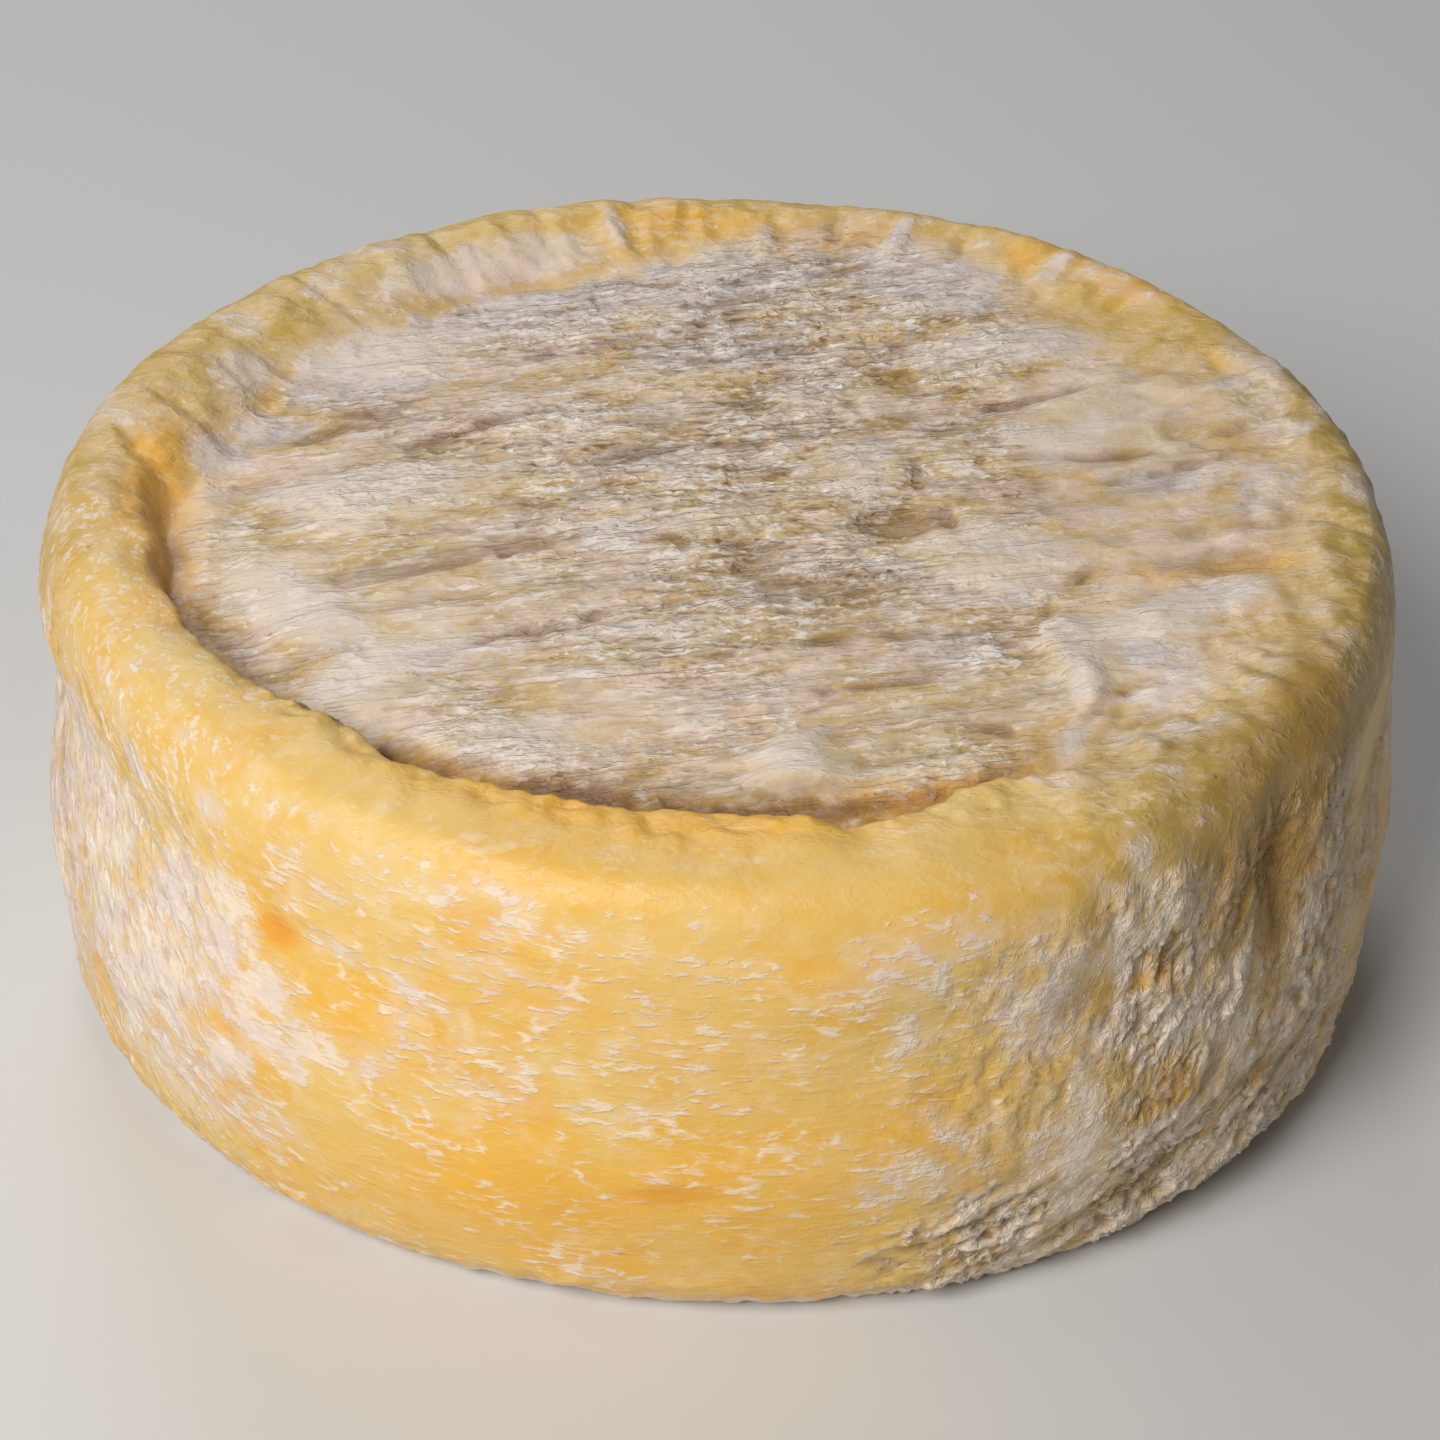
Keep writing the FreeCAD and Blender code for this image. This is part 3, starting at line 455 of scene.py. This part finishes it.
topGlow = [(-48.5, -1, 2.4, 10, 6, 0.9), (35, 39, 4, 2.6, -45, 0.9), (26.6, 43.2, 2, 2.4, 0, 0.8),
           (36, -9.5, 4, 1.3, 10, 0.7), (43.5, -7.7, 4, 1.5, 6, 1.0), (-3, 48.5, 9, 2.4, 0, 0.8),
           (10, 47.5, 3, 2, 0, 0.7), (-12, -46.5, 13, 2.6, -14, 0.8), (4, -48, 7, 3, 4, 0.9),
           (-20, -39.5, 6, 1.8, -30, 0.7), (16, -40, 6, 2, 18, 0.5), (24, -33.5, 5, 2.2, 42, 0.4),
           (44, 25, 3, 3, 0, 0.4), (-13, 45, 6, 2.5, 10, 0.4), (-46, -10, 2.2, 8, 10, 0.9),
           (-41, 14, 2, 6, 30, 0.4), (6, -46, 9, 2.5, 4, 0.5), (15, 22, 2, 2.6, 60, 0.6),
           (28, 42, 3, 2, -40, 0.5)]
# where the bloom is worn off, down to tan skin and round the orange places
wornWall = [(284, 24, 4, 3.5, 0, 0.6), (277, 22, 4, 3, 0, 0.8), (303, 22.5, 3, 2, 10, 0.7),
            (310, 19.5, 4.5, 2, 0, 1.0), (314, 31, 3, 2, 0, 0.6), (305, 8.5, 3, 1.2, 20, 0.7)]
wornRim = [(-48, -7, 2.6, 11, 8, 1.0), (-43, -23, 2, 5, 30, 0.6)]
wornOrange = [(252, 13, 6, 3, 0, 1.0), (268, 18, 5, 2.4, 0, 0.9), (242, 30, 3, 1.6, 0, 0.8)]
# the bare right shoulder, its brown partly painted shade of the right side, and painted shade lines in its
# folds, by angle and height
bareAndShadePatches = [(316.5, 39, 4.5, 7, 0, 0.9), (320, 35, 2.4, 9, 6, 1.0), (319, 43.5, 8, 4, 0, 0.8),
               (323.5, 39, 4, 7, 6, 0.9), (328, 46, 8, 5, 0, 0.9), (312, 42, 4, 3, 0, 0.6)]
shadeLines = [(320, 34, 1.2, 8, 6, 0.7), (297, 33, 2, 2, 0, 0.4), (307, 33, 1.2, 3, -20, 0.2)]
deepOrange = [(233.8, 33.3, 1.9, 1.4, 10, 1.0), (267, 17.4, 3.4, 1.1, 10, 0.7)]
# amber and brown stains along the edge of the top, and the greyest places on it; the brown also paints shade
# along the front inner edge, and the amber on the left inner wall is painted light over the rim's shade
amberAndLightTop = [(-47.5, -6, 3.0, 11, 8, 1.0), (-44.5, -18, 2.2, 6, 25, 0.9), (-50.5, -9, 1.4, 4, 10, 0.8),
            (-41, 12, 3, 1.6, -10, 0.4), (-45, 6, 3, 3, 0, 0.5), (15, -40.5, 8, 2, 14, 0.9),
            (-19.5, -39.5, 5, 2, -28, 0.9), (5, 46.5, 8, 1.6, 0, 0.3), (37, 37, 4, 2, -45, 0.5)]
brownAndShadeTop = [(1.5, -41, 8, 1.3, 0, 0.6), (-12, -39.5, 6, 1.2, -12, 0.55), (14, -40.5, 6, 1.0, 12, 0.4),
            (-46, -15, 1.2, 4, 20, 0.4), (-40, 11, 2.4, 1.0, -10, 0.35), (-38, 20, 3, 1.0, -15, 0.35),
            (-40.5, -21, 1.4, 4, 35, 0.5)]
greyTop = [(37, -14, 10, 4, 22, 0.9), (21, -11.5, 6, 4, 0, 0.7), (30, -20, 4, 5, 20, 0.6)]

print("colour masks")
outer = np.maximum(wall, ease((radius - 49) / 4))     # the wall and the outside of the rim
onLeftBack = ease((angle - 160) / 20) * ease((232 - angle) / 20)
footBand = ease((3.4 + 1.2 * ragged - height) / 2.2) * wall
bloom = np.maximum.reduce([
    onSide(wallBloom, 0.7) * outer * (0.80 + 0.60 * ragged + 0.15 * right + 0.15 * left),
    onTop(topBloom, 0.7) * np.maximum(panel, ease((spotX - 14) / 8)),
    wall * back * ease(0.25 + 1.2 * lumps(place, 9, seed=103, octaves=3)) * 0.6,
    dull * ease(0.20 + 1.5 * lumps(place, 5.5, (1.6, 1, 1), 20, 105, 3)) * 0.75,
    0.3 * rim * onLeftBack,
    wall * right * (0.55 + 0.45 * ragged),
    (1 - panel) * backwards * ease(0.2 + 1.5 * lumps(place, 5, (1.6, 1, 1), 10, 109, 2)) * 0.6,
    onTop(rimBloomAndLight, 0.7),
    0.85 * footBand,
    soleArea * (0.35 + 0.5 * ease(0.5 + lumps(place, 8, seed=107)))])
olive = onTop(oliveSpots, 0.8) * panel
# bare right shoulder: bare skin, darkened in part as painted shade of the right side
bareShoulderAndShade = onSide(bareAndShadePatches, 0.9) * outer
orangeSpot = onSide(deepOrange, 0.5)
bloom *= 1 - 0.75 * olive
bloom *= 1 - 0.8 * onSide(wornWall, 0.9)
bloom *= 1 - 0.85 * onTop(wornRim, 0.8)
bloom *= 1 - 0.9 * bareShoulderAndShade
bloom *= 1 - orangeSpot
bloom *= 1 - 0.7 * onSide(wornOrange, 0.8)
glow = np.maximum(onSide(wallGlow, 0.9) * wall, onTop(topGlow, 0.9))
# amber stain on the top, its colour lightened as painted light where the rim shades the left inner wall
amberAndPaintedLight = onTop(amberAndLightTop, 0.9) * ease(1.0 + 1.3 * ragged)

# brown where the skin folds in at the foot of the inner wall, and in the creases; this is also painted shade
# in the fold and the creases, widened inward as the dark band just behind the front rim
troughAndShade = foldDepth * ease(1.3 - np.abs(radius - foldRadius + 0.9 * ragged)
                          / np.where(radius < foldRadius, 2.3, 2.0))
brownAndShade = np.maximum.reduce([troughAndShade, onSide(shadeLines, 0.9) * outer,
                           onTop(brownAndShadeTop, 0.9) * (0.75 + 0.6 * ragged),
                           np.clip(1.1 * crease, 0, 0.6) * panel])

# the top is greyer towards the back
grey = np.maximum(panel * ease(0.25 + (spotY + 0.45 * spotX) / 45 + 0.25 * ragged), onTop(greyTop, 0.8))
masks = {"bloom": bloom, "panel": panel, "glow": glow, "brownAndShade": brownAndShade, "olive": olive, "right": right,
         "left": left, "wall": wall, "relief": 0.5 + relief, "dull": dull, "crust": crusted * panel,
         "grey": grey, "bareShoulderAndShade": bareShoulderAndShade, "orangeSpot": orangeSpot, "amberAndPaintedLight": amberAndPaintedLight, "calm": calm}
for name, values in masks.items():
    paint(mesh, name, values)
unrolled = mesh.attributes.new("unrolled", "FLOAT_VECTOR", "POINT")     # mm round the wall, mm up, radius
unrolled.data.foreach_set("vector", np.stack([along, height, radius], 1).ravel())

# the even fine skin is thinned where it is smooth
mesh.calc_loop_triangles()
if len(mesh.loop_triangles) > rind["triangles"]:
    thin = rindPiece.modifiers.new("thin", "DECIMATE")
    thin.ratio = rind["triangles"] / len(mesh.loop_triangles)
    thin.use_collapse_triangulate = True
    bpy.ops.object.modifier_apply(modifier=thin.name)
    mesh = rindPiece.data
mesh.polygons.foreach_set("use_smooth", [True] * len(mesh.polygons))


# Shader helpers: a value is a number, a colour or another node's socket.
def colour(red, green, blue):   # 0-255 as on a screen
    linear = [(c / 255 / 12.92) if c < 11 else ((c / 255 + 0.055) / 1.055) ** 2.4 for c in (red, green, blue)]
    return (*linear, 1.0)


class Nodes:
    def __init__(self, material):
        material.use_nodes = True
        self.tree = material.node_tree
        self.tree.nodes.clear()

    def put(self, kind, settings=None, out=0, **inputs):
        node = self.tree.nodes.new("ShaderNode" + kind)
        for name, value in (settings or {}).items():
            setattr(node, name, value)
        for name, value in inputs.items():
            socket = node.inputs[int(name[1:])] if name[0] == "_" else node.inputs[name.replace("_", " ")]
            if isinstance(value, bpy.types.NodeSocket):
                self.tree.links.new(value, socket)
            else:
                socket.default_value = value
        return node.outputs[out]

    def finish(self, surface):
        output = self.tree.nodes.new("ShaderNodeOutputMaterial")
        self.tree.links.new(surface, output.inputs["Surface"])

    def mask(self, name):
        return self.put("Attribute", {"attribute_name": name}, out=2)

    def math(self, operation, a, b=0.0, c=0.0):
        return self.put("Math", {"operation": operation}, _0=a, _1=b, _2=c)

    def times(self, a, b):
        return self.math("MULTIPLY", a, b)

    def plus(self, a, b):
        return self.math("ADD", a, b)

    def minus(self, a, b):
        return self.math("SUBTRACT", a, b)

    def most(self, a, b):
        return self.math("MAXIMUM", a, b)

    def swing(self, noise, amount):   # noise about 0.5 turned into a change about 0
        return self.times(self.minus(noise, 0.5), amount)

    def step(self, value, low, high, toLow=0.0, toHigh=1.0):
        return self.put("MapRange", {"interpolation_type": "SMOOTHSTEP"}, Value=value,
                        From_Min=low, From_Max=high, To_Min=toLow, To_Max=toHigh)

    def turned(self, spot, angle):
        return self.put("VectorRotate", {"rotation_type": "Z_AXIS"}, Vector=spot, Angle=math.radians(angle))

    def place(self, scale, turn=0.0):   # object coordinates in mm, turned, then stretched
        spot = self.put("TexCoord", out=3)
        if turn:
            spot = self.turned(spot, turn)
        return self.put("VectorMath", {"operation": "MULTIPLY"}, _0=spot, _1=[s / mm for s in scale])

    def noise(self, spot, scale, detail=2.0, roughness=0.5, distortion=0.0, out=0):
        return self.put("TexNoise", out=out, Vector=spot, Scale=scale, Detail=detail, Roughness=roughness,
                        Distortion=distortion)

    def along(self, spot, slope, stretch):   # the unrolled wall, drawn out along that slope
        return self.put("VectorMath", {"operation": "MULTIPLY"}, _0=self.turned(spot, -slope),
                        _1=(stretch, 1.0, 1.0))

    def mixVector(self, amount, a, b):
        return self.put("Mix", {"data_type": "VECTOR"}, out=1, _0=amount, _4=a, _5=b)

    def mixValue(self, amount, a, b):
        return self.put("Mix", _0=amount, _2=a, _3=b)

    def mix(self, amount, a, b, kind="MIX"):
        return self.put("Mix", {"data_type": "RGBA", "blend_type": kind}, out=2, _0=amount, _6=a, _7=b)


rindLook = {
    "yellow": colour(238, 197, 110),
    "gold": colour(240, 185, 76),
    "cream": colour(244, 213, 158),
    "orange": colour(250, 188, 62),
    "tan": colour(214, 180, 120),
    "oliveTan": colour(178, 150, 84),
    "pinkBeige": colour(228, 201, 178),
    "lilac": colour(234, 216, 210),
    "lilacGrey": colour(202, 193, 196),
    "topLilac": colour(228, 213, 210),
    "topWhite": colour(248, 234, 226),
    "white": colour(248, 230, 208),
    # glint: a painted highlight
    "paintedGlint": colour(250, 244, 240),
    # brown and line are brown colours, also laid on as painted shade in folds, creases and gaps
    "brownAndShade": colour(122, 80, 44),
    "line": colour(140, 105, 62),
    "bareTan": colour(198, 162, 110),
    "bareOlive": colour(188, 156, 88),
    "dullOlive": colour(186, 157, 80),
    "dullTan": colour(210, 180, 124),
    "fleck": colour(251, 231, 206),
    "crest": colour(245, 228, 207),
    "rimCream": colour(238, 214, 184),
    "rimYellow": colour(240, 203, 124),
    "mist": colour(246, 218, 176),
    # brown of the bare right shoulder, partly painted shade
    "bareBrownAndShade": colour(178, 138, 70),
    "deepOrange": colour(236, 158, 46),
    # amber, lightened as painted light over the shaded left inner wall
    "amberAndPaintedLight": colour(248, 188, 98),
    "roughness": 0.44,
    "subsurface": 0.06,
    "softness": (1.2 * mm, 0.9 * mm, 0.6 * mm),     # how far red, green and blue light spread inside
    "ior": 1.42,
    "fineDepth": 0.30 * mm,                         # height of the fine grain
}


def makeRindLook():
    look = rindLook
    material = bpy.data.materials.new("washedRind")
    n = Nodes(material)
    plain = n.place((1, 1, 1))
    roundWall = n.put("Attribute", {"attribute_name": "unrolled"}, out=1)
    bloom, panel, glow, brownAndShade = (n.mask(name) for name in ("bloom", "panel", "glow", "brownAndShade"))
    olive, wall, relief = (n.mask(name) for name in ("olive", "wall", "relief"))
    right, left, calm = n.mask("right"), n.mask("left"), n.mask("calm")
    dull, crust, grey = (n.mask(name) for name in ("dull", "crust", "grey"))

    broad = n.noise(plain, 0.08, 3, 0.55)
    mottle = n.noise(plain, 0.30, 4, 0.62, 0.4)
    grain = n.noise(plain, 1.9, 3, 0.6)
    tone = n.noise(n.place((0.6, 1, 1), -15), 0.22, 3, 0.6, 0.3)

    # the way the skin is drawn out: level at the front, standing on the right, drooping on the left
    level = n.noise(n.place((0.32, 0.32, 1)), 1.5, 3, 0.6, 0.4)
    standing = n.noise(n.along(roundWall, 72, 0.42), 1.25, 4, 0.66, 0.8)
    leaning = n.noise(n.along(roundWall, 38, 0.42), 1.25, 4, 0.66, 0.8)
    low = n.step(n.put("SeparateXYZ", out=1, Vector=roundWall), 22.0, 12.0)
    standing = n.mixValue(low, standing, leaning)
    drooping = n.noise(n.along(roundWall, -48, 0.40), 1.15, 4, 0.64, 0.6)
    flake = n.noise(n.place((0.38, 1, 1), -12), 1.5, 2, 0.6, 0.2)
    flake = n.mixValue(0.45, flake, n.noise(n.place((0.32, 1, 1), -13), 0.7, 2, 0.6, 0.2))
    straw = n.noise(n.place((0.07, 1, 1), -14), 0.55, 2.5, 0.5, 0.25)
    finerStraw = n.noise(n.place((0.09, 1, 1), -9), 1.2, 2.5, 0.5, 0.25)
    crumbs = n.noise(n.place((0.6, 1, 1), -8), 2.4, 2, 0.5)
    levelTop = n.noise(n.place((0.45, 1, 1), -6), 1.1, 3, 0.6, 0.4)
    level = n.mixValue(wall, levelTop, level)
    skinWay = n.mixValue(left, n.mixValue(right, level, standing), drooping)
    way = n.mixValue(n.times(panel, n.minus(1.0, n.times(calm, 0.6))), skinWay, flake)
    rough = n.times(n.most(right, n.times(left, 0.8)), wall)
    plate = n.step(way, 0.50, n.mixValue(panel, 0.64, 0.59))
    # dark gaps between the flakes: brown lines and painted shade
    shadowGap = n.step(way, n.mixValue(panel, 0.45, 0.465), n.mixValue(panel, 0.35, 0.39))
    wide = n.noise(n.place((0.32, 1, 1), -13), 0.75, 2, 0.6, 0.2)
    # painted glints: white dashes standing in for highlights on the wet crust
    paintedGlint = n.step(n.plus(way, n.swing(crumbs, 0.5)), 0.56, 0.62)
    ledge = n.plus(n.step(straw, 0.485, 0.515), n.times(n.step(finerStraw, 0.48, 0.52), 0.6))
    crack = n.most(n.step(n.math("ABSOLUTE", n.minus(straw, 0.484)), 0.016, 0.004),
                   n.step(n.math("ABSOLUTE", n.minus(finerStraw, 0.479)), 0.018, 0.004))
    crack = n.times(crack, n.times(panel, n.step(tone, 0.44, 0.56)))

    # the yellow skin of the wall and rim
    skin = n.mix(n.step(broad, 0.44, 0.62), look["yellow"], look["gold"])
    skin = n.mix(n.step(mottle, 0.46, 0.74, 0, 0.7), skin, look["cream"])
    onRim = n.minus(1.0, n.most(wall, panel))
    skin = n.mix(n.times(onRim, n.step(tone, 0.40, 0.62, 0.15, 0.5)), skin, look["rimYellow"])
    bareSkin = n.mix(n.step(mottle, 0.42, 0.60), look["bareOlive"], look["bareTan"])
    bare = n.times(right, wall)
    skin = n.mix(n.times(bare, n.step(tone, 0.36, 0.60, 0.35, 1.0)), skin, bareSkin)
    dullSkin = n.mix(n.step(mottle, 0.42, 0.62), look["dullOlive"], look["dullTan"])
    skin = n.mix(n.times(dull, 0.92), skin, dullSkin)
    skin = n.mix(n.times(glow, n.step(mottle, 0.3, 0.6, 0.75, 1.0)), skin, look["orange"])

    # the sunken top: tan and olive under pinkish beige and lilac
    top = n.mix(n.step(tone, 0.40, 0.58), look["tan"], look["pinkBeige"])
    top = n.mix(n.step(mottle, 0.50, 0.70, 0, 0.5), top, look["lilacGrey"])
    top = n.mix(n.times(olive, 0.85), top, look["oliveTan"])
    top = n.mix(n.times(glow, 0.6), top, look["orange"])
    base = n.mix(panel, skin, top)
    # amber stain, lightened as painted light where the rim shades the left inner wall
    base = n.mix(n.times(n.mask("amberAndPaintedLight"), 0.8), base, look["amberAndPaintedLight"])

    # bloom: a thin milky veil, then torn white strokes on what stands up
    loose = n.plus(bloom, n.swing(mottle, 0.8))
    veil = n.step(loose, 0.15, 0.75)
    bloomColour = n.mix(n.step(tone, 0.42, 0.60), look["lilac"], look["white"])
    topColour = n.mix(n.step(tone, 0.42, 0.60), look["topLilac"], look["topWhite"])
    bloomColour = n.mix(panel, bloomColour, topColour)
    bloomColour = n.mix(n.times(bare, 0.75), bloomColour, look["crest"])
    bloomColour = n.mix(n.times(dull, n.step(mottle, 0.62, 0.44, 0.2, 0.9)), bloomColour, look["rimCream"])
    greyed = n.most(n.times(grey, 0.75), n.times(dull, n.step(tone, 0.44, 0.60, 0.0, 0.6)))
    bloomColour = n.mix(n.most(n.times(panel, n.step(broad, 0.4, 0.6, 0.0, 0.5)), greyed),
                        bloomColour, look["lilacGrey"])
    veiled = n.plus(n.step(bloom, 0.55, 0.95, 0.30, 0.44), n.times(n.most(n.most(rough, panel), dull), 0.28))
    base = n.mix(n.times(veil, veiled), base, bloomColour)
    torn = n.plus(loose, n.swing(way, n.mixValue(calm, 2.6, 1.4)))
    strokes = n.step(torn, 0.50, 0.78)
    base = n.mix(n.times(strokes, 0.68), base, bloomColour)

    # crests catch dry white bloom and painted glints; gaps between them hold brown lines deepened with
    # painted shade
    streaked = n.most(n.most(rough, crust), n.times(dull, 0.25))
    dusty = n.times(streaked, n.step(tone, 0.34, 0.56, 0.25, 0.75))
    base = n.mix(n.times(plate, dusty), base, look["white"])
    base = n.mix(n.times(n.step(wide, 0.53, 0.64), n.times(crust, 0.6)), base, look["topWhite"])
    # painted highlights on the crust and on the left bloom
    base = n.mix(n.times(paintedGlint, n.times(n.most(crust, n.times(left, 0.5)), 0.85)),
                 base, look["paintedGlint"])
    lined = n.times(n.minus(streaked, n.times(left, 0.5)), n.step(mottle, 0.64, 0.42, 0.3, 0.9))
    base = n.mix(n.times(shadowGap, lined), base, look["line"])
    base = n.mix(n.times(n.step(wide, 0.47, 0.37), n.times(crust, 0.42)), base, look["line"])
    base = n.mix(n.times(crack, n.times(crust, 0.5)), base, look["line"])
    folded = n.most(rough, panel)
    # white bloom with a painted highlight on what stands up, painted shade in what lies low, both following
    # the relief
    base = n.mix(n.times(n.step(relief, 0.52, 0.74), n.times(folded, 0.40)), base, look["white"])
    base = n.mix(n.times(n.step(relief, 0.47, 0.20), n.times(folded, 0.45)), base, look["line"])
    # brown stains, with painted shade in the inner fold, the creases, the band behind the front rim and the
    # fold lines of the right shoulder
    base = n.mix(n.times(brownAndShade, n.step(mottle, 0.3, 0.6, 1.0, 0.75)), base, look["brownAndShade"])

    # small soft cream flecks on the skin, in loose clusters
    flecks = n.noise(n.mixVector(wall, n.place((0.6, 1, 1)), n.place((0.6, 0.6, 1))), 0.9, 2.5, 0.5, 0.5)
    clusters = n.noise(plain, 0.16, 2, 0.5)
    flecks = n.plus(flecks, n.swing(clusters, 0.6))
    flecks = n.plus(flecks, n.swing(level, 0.5))
    shown = n.minus(1.0, n.most(panel, right))
    shown = n.times(shown, n.plus(0.4, n.times(wall, 0.6)))
    fleck = n.times(n.step(flecks, 0.59, 0.79), shown)
    base = n.mix(n.times(fleck, 0.88), base, look["fleck"])
    misted = n.times(n.step(level, 0.50, 0.66), n.times(shown, n.step(clusters, 0.40, 0.60, 0.0, 0.5)))
    base = n.mix(misted, base, look["mist"])
    # bare brown skin of the right shoulder, darkened further as painted shade of that side
    base = n.mix(n.times(n.mask("bareShoulderAndShade"), 0.85), base, look["bareBrownAndShade"])
    base = n.mix(n.times(n.mask("orangeSpot"), 0.85), base, look["deepOrange"])

    # fine grain: strongest on crust and shrivelled skin
    depth = n.plus(0.18, n.times(n.minus(streaked, n.times(left, 0.4)), 0.85))
    depth = n.most(depth, n.times(n.minus(panel, n.times(calm, 0.5)), 0.35))
    heightMap = n.times(way, depth)
    for detail, amount in ((plate, n.times(depth, 0.30)), (crumbs, n.times(depth, 0.30)), (grain, 0.16),
                           (ledge, n.times(crust, 0.55)), (n.plus(fleck, strokes), 0.12)):
        heightMap = n.plus(heightMap, n.times(detail, amount))
    bump = n.put("Bump", Strength=1.0, Distance=look["fineDepth"], Height=heightMap)
    gloss = n.plus(look["roughness"] - 0.10, n.times(grain, 0.20))
    gloss = n.plus(gloss, n.times(veil, 0.08))
    surface = n.put("BsdfPrincipled", Base_Color=base, Roughness=gloss, Normal=bump,
                    Subsurface_Weight=look["subsurface"], Subsurface_Radius=look["softness"],
                    Subsurface_Scale=1.0, IOR=look["ior"])
    n.finish(surface)
    return material


mesh.materials.append(makeRindLook())
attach(rindPiece, "root")
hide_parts("cheese_wheel")
mesh.calc_loop_triangles()
print("rind:", len(mesh.loop_triangles), "triangles")


# The room: a plain pale floor, a large soft key from the front left, a weak fill behind, an even sky.
room = {
    "floor": 3.0,
    "floorColour": (0.72, 0.72, 0.72, 1.0),
    "floorRoughness": 0.7,
    "key": dict(spot=(-0.245, -0.42, 0.44), size=0.32, power=3.32, warmth=(1.0, 0.985, 0.96)),
    "fill": dict(spot=(-0.22, 0.78, 0.62), size=0.55, power=2.7, warmth=(0.97, 0.985, 1.0)),
    "lampAim": 0.02,       # height of the point that the lamps shine at
    "sky": 0.10,
}


def areaLight(name, spot, size, power, warmth):
    light = bpy.data.lights.new(name, "AREA")
    light.shape = "DISK"
    light.size = size
    light.energy = power
    light.color = warmth
    lamp = bpy.data.objects.new(name, light)
    lamp.location = spot
    lamp.rotation_euler = (Vector((0, 0, room["lampAim"])) - Vector(spot)).to_track_quat("-Z", "Y").to_euler()
    bpy.context.scene.collection.objects.link(lamp)


areaLight("keyLight", **room["key"])
areaLight("fillLight", **room["fill"])
world = bpy.data.worlds.new("softRoom")
bpy.context.scene.world = world
world.use_nodes = True
world.node_tree.nodes["Background"].inputs["Color"].default_value = (1, 1, 1, 1)
world.node_tree.nodes["Background"].inputs["Strength"].default_value = room["sky"]

floorMesh = bpy.data.meshes.new("floor")
floorBuild = bmesh.new()
bmesh.ops.create_grid(floorBuild, x_segments=1, y_segments=1, size=room["floor"] / 2)
floorBuild.to_mesh(floorMesh)
floorBuild.free()
floor = bpy.data.objects.new("floor", floorMesh)
bpy.context.scene.collection.objects.link(floor)
floorMaterial = bpy.data.materials.new("paleFloor")
n = Nodes(floorMaterial)
n.finish(n.put("BsdfPrincipled", Base_Color=room["floorColour"], Roughness=room["floorRoughness"]))
floorMesh.materials.append(floorMaterial)

# The camera looks down 35 degrees on the middle of the wheel, turned a little about its line of sight.
view = {
    "distance": 0.330,
    "elevation": 35.0,     # degrees
    "aim": 0.022,          # height of the point it looks at
    "sensor": 36,
    "lens": 92.9,          # mm
    "roll": 2.08,          # degrees
    "shift": (-0.0026, 0.0018),
    "clipStart": 0.01,
}
camera = bpy.data.objects.new("camera", bpy.data.cameras.new("camera"))
bpy.context.scene.collection.objects.link(camera)
camera.data.sensor_width = view["sensor"]
camera.data.lens = view["lens"]
camera.data.shift_x, camera.data.shift_y = view["shift"]
camera.data.clip_start = view["clipStart"]
raised = math.radians(view["elevation"])
camera.location = (0, -view["distance"] * math.cos(raised), view["aim"] + view["distance"] * math.sin(raised))
looking = (Vector((0, 0, view["aim"])) - camera.location).to_track_quat("-Z", "Y").to_matrix()
camera.rotation_euler = (looking @ Matrix.Rotation(math.radians(view["roll"]), 3, "Z")).to_euler()
bpy.context.scene.camera = camera
bpy.context.scene.view_settings.view_transform = "Standard"
